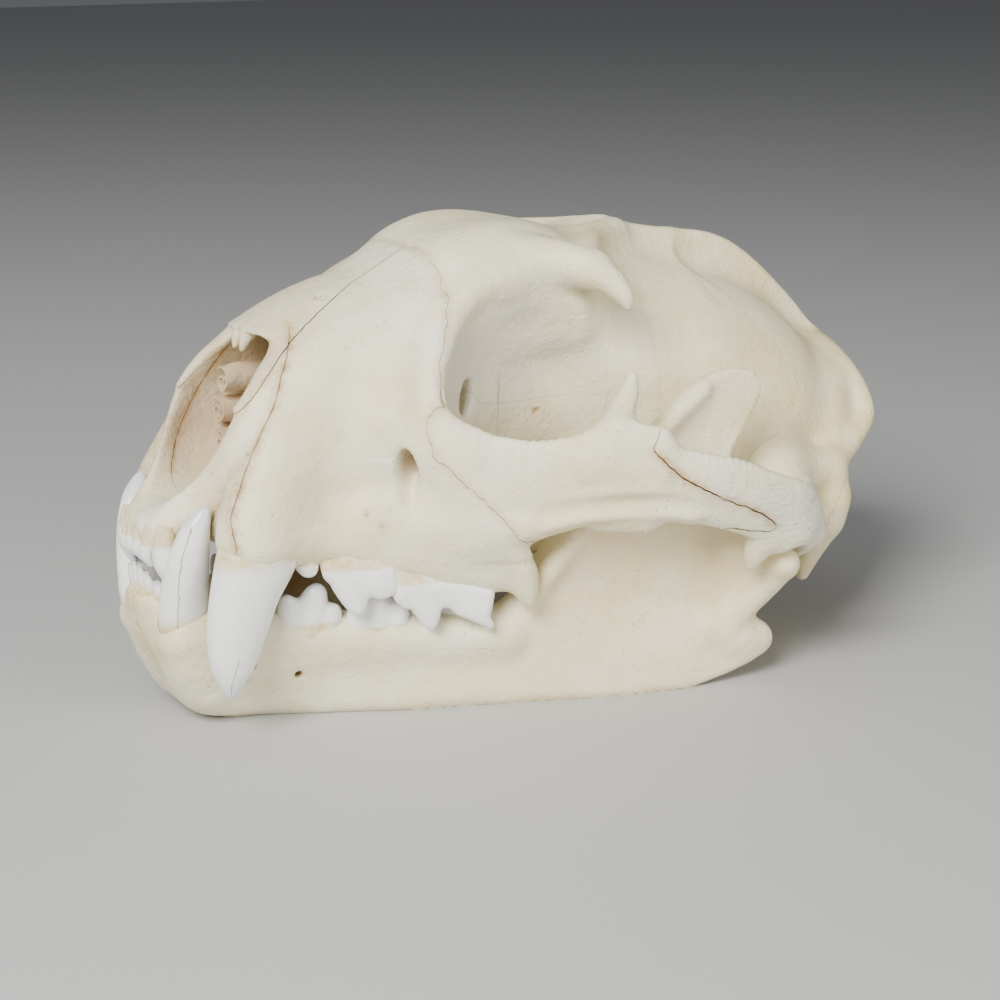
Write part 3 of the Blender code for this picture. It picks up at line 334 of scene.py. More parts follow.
def snoutAndForehead(clay):
    # x, centre z, up, down, half width, squareness
    clay.add(loft([(3.2, 46, 2, 3, 4, 2), (7.4, 47, 6, 5.6, 8.6, 2.2), (12, 49, 13, 8, 11, 2.2),
        (17, 54, 20, 11, 15, 2.2), (21.6, 58, 25.2, 14.5, 18.2, 2.2), (30, 60, 27, 17.5, 22.8, 2.1),
        (44, 60, 32.8, 19, 25.6, 2.3), (58, 62, 34, 22, 26.6, 2.3), (70, 66, 28, 22, 21, 2.3),
        (80, 66, 18, 14, 12, 2.2)]), 3)
    clay.add(loft([(46, 64, 10, 12, 12, 2.2), (60, 76, 18, 18, 21, 2.4), (72, 86, 16.8, 14, 23, 2.6),
        (82, 88, 17.2, 13, 22.5, 2.8), (92, 89, 16.8, 13, 24, 2.6), (101, 88, 16.8, 14, 26, 2.3),
        (108, 85, 17.8, 17, 24, 2.2), (117, 80, 20.4, 20, 21, 2.1), (128, 76, 21.6, 20, 17, 2),
        (140, 72, 18, 16, 10, 2)]), 8)
    clay.add(loft([(52, 62, 16, 16, 14, 2.2), (64, 62, 26, 24, 21, 2.3), (76, 62, 30, 24, 19.4, 2.3),
        (90, 64, 26, 22, 17.6, 2.2), (104, 64, 26, 22, 17.6, 2), (120, 62, 26, 22, 20, 2),
        (134, 58, 26, 20, 22, 2)]), 8)
    # swellings each side of the forehead's trough
    clay.add(egg((88, 12, 92.6), (17, 10, 11.5), 3), 7)


def alveolarRidge(clay):
    clay.add(bar([(20.5, 16, 49, 4.4), (25, 18.6, 46.4, 5.6), (31, 20.5, 44, 5.6), (41, 22, 41.5, 5),
        (53, 25.5, 38, 5), (64, 29.5, 35.2, 5.2), (72, 32.4, 33, 5), (77, 33.8, 31.8, 3.8)]), 6)
    # the cheek swells over the upper canine's root
    clay.add(bar([(21.4, 22.6, 44.4, 6.5), (23.6, 21.6, 50, 6.6), (27.5, 20, 59, 5.8), (33, 18, 69, 4.4)],
        ((1, 0, -0.35), 1.36)), 5)
    # palate under the nose, and the front that carries the incisors
    clay.add(loft([(5.2, 45, 4, 4, 7, 2.6), (12, 45, 5, 4.6, 12, 2.6), (30, 47, 7, 5.5, 20, 2.8),
        (50, 45, 8, 5.5, 22, 2.8), (70, 42, 8, 5.5, 24, 2.8), (84, 39.5, 8, 5, 22, 2.8)]), 4)


def cheekRoot(clay):
    clay.add(bar([(54, 26, 67, 6), (60, 30, 63, 6), (66, 33.6, 57, 7), (72, 37, 51, 7)]), 7)
    clay.add(bar([(56, 24.2, 61, 6), (56, 22.8, 70, 6), (59.4, 20.6, 79, 6), (65, 17.8, 86, 5.8)]), 8)
    clay.add(bar([(50, 24, 47, 5), (60, 28.5, 45, 7), (70, 34, 44, 7.5), (76, 38.6, 44.5, 5.5)]), 7)
    clay.add(bar([(75.4, 37.6, 43, 5.4), (78, 38.6, 35, 3.8), (79.4, 38.8, 28.4, 2.4),
        (80.2, 38.6, 25, 1)]), 4)


def orbitRim(clay):
    # from the cheek up and round to the forehead
    clay.add(bar([(66, 37.4, 62.4, 2), (61.4, 32.6, 67, 2), (61, 30.4, 73, 1.8), (64, 27.6, 81.5, 2),
        (69, 24.4, 88.6, 2.4), (76, 22.2, 93.8, 3), (85, 21.4, 96.4, 3)]), 4)
    clay.add(bar([(82, 18.6, 96, 4.2), (91, 21.2, 98.6, 5), (98.6, 26.6, 98, 4.5),
        (103.4, 32.4, 95.6, 3.5), (105.8, 36.4, 92, 2.3), (106.2, 37.6, 89.6, 1.1)]), 4)


def arch(clay):
    # a strap on edge: x, y, z, half thickness
    onEdge = (0.05, 0.22, 1.0)
    clay.add(bar([(60, 31.5, 59, 2.4), (68, 37.5, 55.5, 2.9), (76, 43.5, 54, 3), (84, 48.8, 55, 3),
        (92, 53.2, 56.2, 2.9), (100, 56.8, 55, 2.7)], (onEdge, 3.7)), 4)
    clay.add(bar([(92, 53, 56, 2.9), (101, 57.2, 54.5, 2.8), (110, 60.2, 52.6, 2.8), (119, 61.4, 50, 2.8),
        (127, 61.6, 46.6, 2.8), (134, 61, 43.4, 2.9), (140, 58.6, 40.8, 3), (144, 53, 39.8, 3.2)],
        (onEdge, 3.1)), 4)
    # hook that closes the orbit behind
    clay.add(bar([(88, 51, 60, 4.6), (93, 51.8, 66.5, 3.6), (97, 50.8, 72.3, 2.4), (99, 50, 77, 1.1)]), 3)
    # edge that the chewing muscle hangs from
    clay.add(bar([(71, 39.5, 45, 2), (77, 43.5, 45.6, 2.4), (82, 48.4, 48, 2.4), (89, 53.4, 50.4, 2.2),
        (98, 57.4, 50.6, 1.8), (108, 60.4, 48, 1.2)]), 4)
    clay.carve(bar([(77, 49.4, 48.4, 2.4), (86, 55, 50, 2.6), (96, 60, 50.2, 2.6), (106, 63.4, 49, 2.4),
        (117, 65.8, 46.6, 1.8)]), 1.6)


def archRoot(clay):
    clay.add(bar([(143, 55, 40, 4.2), (147, 47, 40.5, 5.5), (149, 39, 43, 8), (150, 32, 46, 10)]), 6)
    # roof over the jaw joint with its lips before and behind
    clay.add(bar([(137, 58, 38.5, 4), (139, 50, 39, 4.6), (140, 42, 39.5, 5), (140, 34, 40, 5)]), 5)
    clay.add(bar([(130.5, 58, 40, 3), (128.5, 57.2, 35.5, 2.6), (128.2, 56.4, 31.6, 1.6)]), 3)
    clay.add(bar([(146.5, 55, 36, 3), (147.6, 49, 32.6, 3.2), (148, 42, 31.6, 3.4),
        (147.5, 36, 33.5, 3.4)]), 4)
    # hollow that the jaw's roller turns in
    clay.carve(bar([(137.6, 61, 30.6, 5), (136.6, 50, 30.8, 5.4), (135.6, 42, 30.4, 5.2),
        (135, 33, 29.8, 4.4)]), 1)
    # crest from the arch back over the ear
    clay.add(bar([(150, 36, 46, 4), (158, 36.4, 45, 3.6), (166, 36.4, 44.5, 3.2)]), 6)


def braincase(clay):
    clay.add(egg((141, 0, 59), (38, 34, 31.5), 10.5), 10)
    clay.add(egg((158, 0, 55), (25, 33, 25), 12), 8)
    # temporal lines and the crest they meet in
    clay.add(bar([(103, 30, 98.4, 1.6), (108, 21, 99.8, 1.5), (115, 11.6, 100.8, 1.5),
        (126, 3, 100.6, 1.8)]), 6)
    crest = curveThrough([(112, 96), (117, 100), (124, 100.6), (132, 100.8), (142, 99.4), (153, 98),
        (162, 95), (170, 89.8), (177, 83.8), (184, 76.8), (189, 70.4), (191.4, 65.6), (188, 61),
        (176, 60), (150, 74), (124, 84)], 4)

    def crestHalf(x, z):
        ridge = np.interp(np.ravel(x), [112, 130, 160, 185, 194], [5, 1.7, 1.5, 2.4, 4.5]).reshape(x.shape)
        return ridge + 0 * z

    clay.add(plate(crest, lambda x, z: -crestHalf(x, z), crestHalf, 1.6, 8), 7)


def occiput(clay):
    clay.add(egg((172, 0, 49.6), (12.6, 33, 21.6), 25), 6)
    clay.add(egg((177.4, 0, 57.6), (6, 26, 13), 30), 5)
    # crest across the back, from the crown down to behind the ear
    clay.add(bar([(188.6, 0, 66, 2.8), (186.6, 8, 67, 2.4), (185, 16, 65.4, 2.2), (184.8, 24, 60.4, 2.2),
        (183.8, 29.6, 54, 2), (177.4, 32.4, 49, 2.2), (169.4, 35.4, 44.4, 2.6), (168.6, 36.6, 38, 3),
        (168.4, 35.4, 31, 3)]), 5)
    clay.add(bar([(168.6, 34, 36, 4.6), (167.4, 31.6, 27, 4.2), (166.6, 29.4, 20, 3),
        (166.4, 28.5, 15.6, 1.8)]), 5)
    clay.add(egg((172.5, 12.5, 30.5), (6.8, 6.6, 9), -20, 25), 4)
    clay.add(bar([(172, 20, 31, 7), (168, 27, 31, 6)]), 6)


def skullBase(clay):
    clay.add(egg((152, 19.5, 25.5), (16.5, 9.6, 10.5), 8), 4)
    clay.add(bar([(160, 30, 32, 6), (152, 31, 33, 6), (145, 33, 36, 5)]), 6)
    clay.add(loft([(84, 46, 10, 5, 15, 2.4), (98, 44, 12, 4, 11, 2.4), (112, 42, 14, 5, 12, 2.4),
        (130, 37, 16, 5.5, 14, 2.6), (150, 31.5, 14, 4.5, 12, 2.6), (170, 29, 10, 4.5, 12, 2.6)]), 6)
    # wings each side of the throat opening
    clay.add(plate([(80, 44), (84, 30), (92, 27.5), (100, 26.5), (107, 25), (110, 27.5), (108, 33),
        (118, 38), (124, 46)], lambda x, z: 8.2 + 0 * x * z, lambda x, z: 10.6 + 0 * x * z, 1.1, 14), 3)


def noseMouth(clay):
    # The opening of the nose: its edge follows the front bone below and the notched nasal bones above.
    heights = (40, 48.5, 52, 56.2, 61.4, 67.4, 70.4, 72, 76, 79.6, 82, 84.2, 85.2, 86, 90)
    edges = (-6, 4.4, 8, 12, 15.8, 19.2, 20.8, 20.6, 24.2, 27.6, 30.6, 32.6, 32, 28.8, 28.6)

    def distance(x, y, z):
        edge = np.interp(np.ravel(z), heights, edges).reshape(z.shape)
        return np.maximum((x - edge) * 0.72, 47.4 - z) + 0 * y

    clay.carve((np.array([-4, 0, 40]), np.array([32, 40, 100]), distance), 1)


def openings(clay):
    noseMouth(clay)
    # the nasal hollow
    clay.carve(loft([(2, 54.5, 7, 5, 8, 2), (9, 57, 14, 6.6, 8, 2.2), (15, 61, 20, 10, 11, 2.2),
        (22, 65, 20, 14, 14.2, 2.2), (30, 67, 18.2, 15.6, 15, 2.1), (44, 70, 18.4, 18, 14, 2.2),
        (58, 74, 17, 17, 12, 2.2), (64, 76, 12, 10, 7, 2)]), 2)
    # the nasal bones turn down where they meet
    clay.add(bar([(33, 1.6, 86.4, 1.6), (30.6, 1.8, 84.6, 1.5), (29.6, 1.8, 82.2, 0.9)]), 1)
    # room for the lower canine
    clay.carve(bar([(9.6, 11.6, 32.6, 6.2), (9.8, 13.9, 39.6, 5.4), (10.8, 16, 46.6, 4.2),
        (13, 17.5, 52.6, 1.8)]), 1.5)
    # under the eye
    clay.carve(bar([(49, 36.5, 56, 2.2), (54.2, 31, 56.2, 2.5), (60, 28.4, 59, 2.2), (70, 28.4, 61, 2.2)],
        ((-0.1, 0, 1), 2.9)), 0.8)
    # palate
    clay.carve(bar([(16, 0, 37.5, 7), (32, 0, 35, 7.4), (50, 0, 31.4, 8), (66, 0, 27.6, 8.6),
        (80, 0, 24.6, 9)], ((0, 1, 0), 1.75)), 5)
    # throat opening behind it
    clay.carve(bar([(82, 0, 38.4, 5.4), (94, 0, 34.8, 6), (108, 0, 31.4, 6), (120, 0, 27.4, 6)]), 2)
    # where the spine begins
    clay.carve(bar([(190, 0, 38.5, 8.6), (176, 0, 37.6, 8), (160, 0, 40, 7.4), (148, 0, 44, 6)],
        ((0, 1, 0), 1.25)), 2)
    # ear
    clay.carve(bar([(158, 37, 33, 2.6), (156, 28, 32, 2.4), (155, 24, 31, 2)]), 1.5)
    # small holes for vessels
    for x, y, z, hole in ((45.6, 6.4, 92.3, 0.7), (21.1, 20.5, 63.4, 0.6), (45.3, 28.2, 48.6, 0.5),
                          (47.9, 30, 46, 0.5), (95.7, 16.8, 63, 0.8)):
        clay.carve(egg((x, y, z), (hole, hole, hole)), 0.3)


def orbits(clay):
    clay.carve(egg((87, 43.5, 76.5), (26, 23.8, 21), 4, -8), 2.4)
    clay.carve(egg((96, 42, 58), (28, 22.4, 24), 4), 6)
    # the tear hole in the orbit's front wall
    clay.carve(bar([(77, 24.5, 69.8, 2.2), (74.6, 19.8, 69.3, 2.4), (71.5, 13, 68.4, 2)],
        ((0.1, 0, 1), 1.7)), 0.8)


def cranium(step):
    clay = Clay((-4, 0, 8), (199, 70, 112), step)
    snoutAndForehead(clay)
    alveolarRidge(clay)
    braincase(clay)
    occiput(clay)
    skullBase(clay)
    cheekRoot(clay)
    orbits(clay)
    orbitRim(clay)
    openings(clay)
    arch(clay)
    archRoot(clay)
    return clay


def jaw(step):
    clay = Clay((-4, -3, -3), (150, 64, 78), step)
    outline = curveThrough([(1.8, 30.5), (3.4, 22), (6, 15), (9.2, 7.6), (13.6, 2.6), (20, 0.2),
        (30, -0.3), (60, -0.5), (90, -0.5), (116, -0.5), (126, 1), (134, 3.4), (140.6, 7), (140.6, 11),
        (136.4, 15.6), (135.4, 20), (138, 27), (137.4, 33), (131.6, 37), (128.6, 43), (128.8, 50),
        (129.6, 56), (133, 62), (136.4, 69), (134.2, 73.4), (127.6, 74.8), (120.6, 72.4), (113, 66),
        (104, 56.6), (95, 46), (87.6, 36.5), (82, 27), (76, 21.6), (64, 21), (50, 22.2), (38, 23.8),
        (29, 25.6), (22, 27), (14, 28), (6, 31.4)], 3)

    # the jaw's mid surface bows outwards to the rear
    xs = [-4, 1, 4, 8, 14, 22, 30, 40, 50, 62, 78, 100, 119, 135, 150]
    outer = [1, 4.6, 8.6, 12.4, 15.4, 16.6, 18, 20.4, 23.6, 27.8, 33, 41.6, 46.2, 48.4, 49]
    inner = [-6, -6, -6, -6, -6, -5, 2, 8.5, 12.8, 17.4, 24.6, 34.6, 41, 44.4, 45.6]

    def outerSide(x, z):
        flat = np.interp(np.ravel(x), xs, outer).reshape(x.shape)
        fossa = 3.4 * np.exp(-(((x - 111) / 20) ** 2 + ((z - 26) / 14.5) ** 2) ** 1.5)
        fossa = fossa + 1.4 * np.exp(-((x - 121) / 8) ** 2 - ((z - 58) / 11) ** 2)
        chin = np.clip((14 - z) / 14, 0, 1) * np.clip((60 - x) / 34, 0, 1) * 7
        high = np.clip((z - 36) / 30, 0, 1)
        return flat - fossa - chin + high * np.interp(np.ravel(x), [90, 135], [1.5, -0.5]).reshape(x.shape)

    def innerSide(x, z):
        flat = np.interp(np.ravel(x), xs, inner).reshape(x.shape)
        high = np.clip((z - 30) / 30, 0, 1)
        return flat + high * 2.2 + 0.4 * np.exp(-((x - 112) / 22) ** 2 - ((z - 20) / 16) ** 2)

    clay.add(plate(outline, innerSide, outerSide, 4.8), 1)
    # the joint's roller
    clay.add(bar([(137.6, 56.6, 30.6, 3.2), (136.6, 50, 30.8, 4), (135.6, 42, 30.4, 3.8),
        (135, 37, 29.8, 2.8)]), 3)
    clay.add(bar([(126, 44, 14, 3.4), (133, 45.6, 10.4, 3.8), (138, 46.4, 9.6, 2.6)]), 4)
    clay.add(bar([(132, 46.6, 17, 3.4), (136, 50.4, 23, 3.4), (138.2, 55, 28.6, 3)]), 3)
    # front border of the ramus is a thick band
    clay.add(bar([(84, 35.6, 28, 2.6), (93, 40.6, 42, 2.4), (103.4, 44, 54.4, 2.2),
        (112.6, 45.4, 64.2, 2), (120.8, 46, 70.4, 1.6)]), 3)
    # sockets of the canine and the cheek teeth
    clay.add(bar([(15.4, 8.6, 10.4, 5), (12.6, 9.4, 16.2, 5.8), (10.2, 10, 22.4, 6.5)]), 4)
    clay.add(bar([(30, 15, 22, 3.8), (38, 17.2, 19.8, 4), (50, 21, 18.4, 4.2), (66, 26.2, 17.4, 4.2),
        (78, 31, 16.6, 4)]), 5)
    # the two halves meet on a flat, and both stand on one
    clay.field = np.maximum(clay.field, sutureGap / 2 - clay.axes[1][None, :, None])
    clay.field = np.maximum(clay.field, -clay.axes[2][None, None, :])
    # the nerve's holes beside the chin
    for x, y, z, hole in ((22, 16.3, 15.1, 1.1), (21.2, 15.1, 11.4, 0.8), (33.1, 17.6, 11.2, 0.9)):
        clay.carve(bar([(x - 1, y + 6, z, hole), (x + 1, y - 3, z, hole)]), 0.6)
    return clay


def newObject(name, points, faces):
    mesh = bpy.data.meshes.new(name)
    mesh.from_pydata(np.asarray(points, float).tolist(), [], [tuple(int(i) for i in f) for f in faces])
    mesh.update()
    thing = bpy.data.objects.new(name, mesh)
    bpy.context.scene.collection.objects.link(thing)
    return thing


def pointsOf(thing):
    out = np.zeros(len(thing.data.vertices) * 3)
    thing.data.vertices.foreach_get("co", out)
    return out.reshape(-1, 3)


def settled(thing):
    graph = bpy.context.evaluated_depsgraph_get()
    mesh = bpy.data.meshes.new_from_object(thing.evaluated_get(graph))
    thing.modifiers.clear()
    old = thing.data
    thing.data = mesh
    bpy.data.meshes.remove(old)


def cutBy(thing, tool):
    cut = thing.modifiers.new("cut", "BOOLEAN")
    cut.operation = "DIFFERENCE"
    cut.solver = "MANIFOLD"
    cut.object = tool
    settled(thing)
    bpy.data.objects.remove(tool)


def roughness3d(points, size, seed):
    # smooth random values from -1 to 1 over cells of a size
    low = points.min(0) - size
    cells = np.ceil((points.max(0) - low) / size).astype(int) + 3
    values = np.random.default_rng(seed).uniform(-1, 1, cells)
    at = (points - low) / size
    base = np.floor(at).astype(int)
    f = at - base
    f = f * f * (3 - 2 * f)
    total = np.zeros(len(points))
    for i in (0, 1):
        for j in (0, 1):
            for k in (0, 1):
                share = np.abs(1 - i - f[:, 0]) * np.abs(1 - j - f[:, 1]) * np.abs(1 - k - f[:, 2])
                total += share * values[base[:, 0] + i, base[:, 1] + j, base[:, 2] + k]
    return total


def shake(points, amount, size, seed):
    # a smooth random step for each point, drawn once to each axis
    return amount * np.column_stack([roughness3d(points, size, seed + i) for i in range(3)])


# Cuts along the sutures

def wobble(length, size, pitch, seed):
    # a jagged line's offsets, one for each place along it
    steps = np.random.default_rng(seed).uniform(-1, 1, int(length[-1] / pitch) + 3)
    fine = np.random.default_rng(seed + 50).uniform(-1, 1, int(length[-1] / pitch * 2.6) + 3)
    coarse = np.interp(length / pitch, np.arange(len(steps)), steps)
    return size * (0.7 * coarse + 0.45 * np.interp(length / pitch * 2.6, np.arange(len(fine)), fine))


def strip(path, ways, back, ahead, gap=sutureGap, jag=0.5, seed=1):
    # a thin jagged sheet: each point of a path swept along its way, from back to ahead
    path, ways = np.array(path, float), np.array(ways, float)
    each = [np.broadcast_to(np.array(v, float), len(path)) for v in (back, ahead, gap, jag)]
    rows = np.column_stack([path, ways, *each])
    if len(path) > 2:
        rows = curveThrough(rows, 5)
    steps = np.linalg.norm(np.diff(rows[:, :3], axis=0), axis=1)
    length = np.concatenate([[0], np.cumsum(steps)])
    places = np.linspace(0, length[-1], int(length[-1] / 0.6) + 2)
    rows = np.column_stack([np.interp(places, length, column) for column in rows.T])
    path, ways, back, ahead = rows[:, :3], rows[:, 3:6], rows[:, 6:7], rows[:, 7:8]
    ways = ways / np.linalg.norm(ways, axis=1)[:, None]
    normal = np.cross(np.gradient(path, axis=0), ways)
    normal = normal / np.linalg.norm(normal, axis=1)[:, None]
    path = path + normal * wobble(places, 1, 1.5, seed)[:, None] * rows[:, 9:10]
    normal = normal * rows[:, 8:9] / 2
    near, far = path - ways * back, path + ways * ahead
    points = np.concatenate([near - normal, far - normal, far + normal, near + normal])
    n = len(path)
    faces = [(0, n, 2 * n, 3 * n), (n - 1, 4 * n - 1, 3 * n - 1, 2 * n - 1)]
    for i in range(n - 1):
        for row in range(4):
            a, b = row * n + i, (row + 1) % 4 * n + i
            # both sides of the sheet are halved the same way, so it keeps its thickness
            faces += [(a, a + 1, b), (a + 1, b + 1, b)] if row == 2 else [(a, a + 1, b + 1), (a, b + 1, b)]
    return outward("sheet", points, faces)


def volume(points, faces):
    total = 0.0
    for face in faces:
        for b, c in zip(face[1:], face[2:]):
            total += points[face[0]] @ np.cross(points[b], points[c])
    return total / 6


def outward(name, points, faces):
    points = np.array(points, float)
    if volume(points, faces) < 0:
        faces = [face[::-1] for face in faces]
    return newObject(name, points, faces)


def across(path, inner, outer, side, gap=sutureGap, jag=0.5, seed=1):
    # a sheet along an x-z path, running sideways from inner to outer y
    points = [(x, side * inner, z) for x, z in path]
    return strip(points, [(0, side, 0)] * len(path), 0, outer - inner, gap, jag, seed)


def upright(path, low, high, side):
    # a sheet along an x-y path, running up from low to high z
    points = [(x, side * y, low) for x, y in path]
    return strip(points, [(0, 0, 1)] * len(path), 0, high - low, sutureGap, 0, 1)


nasalSeam = [(16, 17.4, 68.4), (21.4, 16.6, 71.6), (29.2, 16, 79.5), (37, 14.8, 87.3), (48.3, 12, 94.7),
    (55.6, 10, 99.6), (61, 8.5, 101.4), (66, 6.6, 103), (70, 5.4, 104.4)]
nasalAxis = [(16, 69), (37, 77), (48, 85), (61, 93), (72, 97)]
nasalEnd = [(70, 94.6), (62, 91), (52, 85)]
premaxillaSeam = [(17.5, 34), (15.4, 42), (15, 50), (16.4, 54), (19.6, 60), (25, 69), (29.5, 76),
    (36.6, 87.6)]
frontalSeam = [(67, 114), (69.4, 101), (67.8, 92.5), (64.4, 84.5), (62.5, 78.5), (61.4, 73), (63, 71.2),
    (76, 70.4), (84, 66.4), (123, 66.2)]
coronalSeam = [(121, 114), (123, 92), (121.5, 60)]
palateSeam = [(85, 72), (84, 40), (86, 10)]
jugalSeam = [(62.4, 72), (58.6, 70.8), (56.6, 68), (57.6, 62), (60.4, 58.4), (66.4, 51.8), (71.4, 46),
    (75, 42), (88, 41)]
jugalInner = [(53, 26), (60, 30.4), (70, 35.2), (86, 40.5)]
archSeam = [(103, 73), (98.8, 65.6), (97.8, 62.6), (104, 56.4), (113.5, 50.8), (123, 46.4), (129, 42.4),
    (128, 40.8), (122, 41.6), (117, 42.2), (113, 36)]
archRootSeam = [(124, 36), (146, 37.5), (151.6, 39.5), (152.6, 60)]
sphenoidSeam = [(112, 67), (110, 48), (113, 36), (112, 10)]
occiputSeam = [(183, 100), (180, 74), (173, 52), (166, 34), (162, 10)]


# Middle of each bone's box, by which it is known
boneMiddles = {"nasal": (45, 8, 88), "premaxilla": (17, 10, 64), "maxilla": (50, 18, 64),
    "frontal": (92, 18, 88), "jugal": (94, 44, 56), "zygomatic_process": (124, 52, 47),}
middleBones = {"palatine": (103, 0, 48), "braincase": (145, 0, 58), "occiput": (180, 0, 48)}


def spike(rows, around, count):
    # A tooth turned round a bent spine, with so many points around it.
    rows = curveThrough(rows, count)
    points, faces = [], []
    for i, (x, y, z, long, broad) in enumerate(rows):
        ahead = rows[min(i + 1, len(rows) - 1), :3] - rows[max(i - 1, 0), :3]
        ahead = ahead / np.linalg.norm(ahead)
        side = np.cross(ahead, (1, 0, 0))
        side = side / np.linalg.norm(side)
        front = np.cross(side, ahead)
        for k in range(around):
            turn = 2 * math.pi * k / around
            ring = front * long * math.cos(turn) + side * broad * math.sin(turn)
            points.append(np.array((x, y, z)) + ring)
    last = len(rows) - 1
    for i in range(last):
        for k in range(around):
            a, b = i * around + k, i * around + (k + 1) % around
            faces.append((a, b, b + around, a + around))
    faces.append(tuple(range(around))[::-1])
    faces.append(tuple(last * around + k for k in range(around)))
    return points, faces


def grown(rows, by):
    # A canine's rows made larger all round, to cut its socket.
    return [(x, y, z, a + by, b + by) for x, y, z, a, b in rows]


# rows: x, y, z, half length fore and aft, half breadth; crack: x, y, z of a fine line down the enamel
canines = {
    "upper": {"hosts": ("maxilla_", "premaxilla_"), "gum": 42, "tip": 11,
              "rows": [(27.6, 19.6, 56, 6.8, 4.8), (25.2, 21.4, 49.5, 8.6, 5.3),
                       (21.6, 22.9, 41.9, 9.1, 5.6), (18.2, 23.3, 33.8, 7.8, 5.1),
                       (16, 23.4, 25.3, 6.7, 4.5), (14.9, 23.2, 18.1, 4.9, 3.5),
                       (14.6, 22.9, 13.2, 2.3, 1.9), (14.5, 22.7, 11.2, 0.9, 0.7)],
              "crack": [(13.8, 22.4, 12.5), (13.7, 22.5, 15), (14.6, 22.8, 21)]},
    "lower": {"hosts": ("mandible_", "premaxilla_"), "gum": 26, "tip": 52,
              "rows": [(13.6, 8.8, 14, 3.8, 3.2), (11.6, 9.4, 19, 4.8, 3.8), (9.6, 10.3, 24.5, 5.5, 4.2),
                       (9.4, 11.5, 31.7, 5.5, 4.1), (9.7, 13.8, 39.9, 4.7, 3.6),
                       (10.7, 15.8, 46.8, 3.4, 2.8), (12.2, 17, 50.8, 1.8, 1.6), (13, 17.4, 52.4, 0.7, 0.6)],
              "crack": [(6.9, 9, 20), (6.4, 10, 32), (6.9, 12, 41), (8.9, 14, 48.5)]}}
# points round a tooth, and steps between two of its rows
toothDetail = {"socket": (40, 5), "canine": (56, 10), "incisor": (24, 8)}


# Cheek teeth: each is a set of rounded cusps, given as a rod and how much longer than broad it is
cheekTeeth = {
    "upper second premolar": [([(33.4, 22.4, 41, 1.8), (33.4, 22.6, 38, 2), (33.6, 23, 36.6, 1.5)], 1.3)],
    "upper third premolar": [
        ([(41.4, 24.4, 38.6, 2.8), (42, 25.2, 34, 2.9), (42.8, 26.2, 30, 2.2), (43.2, 27, 27.4, 1.3),
          (43.3, 27.2, 26.4, 0.7)], 1.45),
        ([(37.8, 23.6, 39, 1.9), (38.2, 24.2, 35.6, 1.6)], 1),
        ([(47, 26.2, 37.6, 2.8), (47.8, 27.2, 33, 2.7), (48.6, 27.8, 31, 2)], 1.25),
        ([(50.4, 28.2, 35.4, 1.9), (50.8, 28.8, 31.4, 1.3)], 1)],
    "upper carnassial": [
        ([(53, 28, 35, 2.3), (53.4, 28.8, 30, 2.2), (54, 29.6, 27.6, 1.2)], 1.1),
        ([(57.6, 29, 34, 3), (58, 29.6, 29, 3), (58.7, 30.8, 25, 2.1), (58.9, 31.6, 22.6, 1.1),
          (58.9, 31.8, 21.8, 0.6)], 1.35),
        ([(55, 28.6, 31.6, 2.6), (62, 30.8, 30.4, 2.9), (68, 32.8, 29.2, 3), (71, 34.2, 28.2, 2.4)], 1),
        ([(62.6, 31.4, 28, 2), (67, 33.2, 26.4, 2.4), (70.4, 34.6, 25.4, 2.2)], 1),
        ([(66, 33.6, 25, 1.3), (69, 34.8, 23.4, 1.4), (71.2, 35.8, 21.6, 0.9),
          (71.4, 35.9, 20.8, 0.6)], 1.3)],
    "upper molar": [([(73.4, 30.2, 32, 2), (73.6, 30, 29, 1.5)], 1)],
    "lower third premolar": [
        ([(35.4, 18.4, 21, 2.8), (36, 18.7, 26, 2.8), (36.8, 19.5, 29.8, 2), (37, 20, 31.4, 1.1)], 1.35),
        ([(31.2, 17.3, 23, 2.2), (31, 17.7, 27.6, 2), (30.6, 18.2, 29.2, 1.2)], 1.1),
        ([(40, 19.4, 21, 2.3), (40.4, 20, 24.8, 2.1), (41, 20.6, 26, 1.1)], 1.1)],
    "lower fourth premolar": [
        ([(50, 22.2, 19, 2.9), (50.4, 22.6, 25, 2.7), (50.8, 23, 29, 1.6), (51, 23.2, 31, 0.8)], 1.35),
        ([(46, 21.2, 20, 2.3), (46, 21.6, 25, 2), (46, 21.9, 26.8, 1)], 1.1),
        ([(54.8, 23.8, 20, 2.4), (55, 24.2, 24.4, 2.1), (55.2, 24.4, 26.2, 1)], 1.1)],
    "lower carnassial": [
        ([(61, 23.4, 18, 2.4), (61.4, 23.6, 24, 2.2), (62, 23.9, 27.4, 1.2), (62.2, 24, 28.8, 0.7)], 1.6),
        ([(68.6, 26.2, 18, 2.4), (69, 26.4, 24, 2.1), (69.4, 26.6, 27.6, 1.1), (69.6, 26.6, 29, 0.7)], 1.6),
        ([(60, 23.2, 19.8, 2.3), (65, 24.8, 19.4, 2.4), (71, 27, 19, 2.2)], 1)],
}


def cuspedTooth(cusps, step):
    # One cheek tooth blended from its cusps, each longer fore and aft than across.
    ends = np.array([row for rods, ratio in cusps for row in rods])
    reach = ends[:, 3].max() * 1.7 + 2 * step
    clay = Clay(ends[:, :3].min(0) - reach, ends[:, :3].max(0) + reach, step)
    for rods, ratio in cusps:
        clay.add(bar(rods, ((1, 0.35, 0), ratio)), 1.6)
    return meshOf(clay.field, clay.low, step, False)


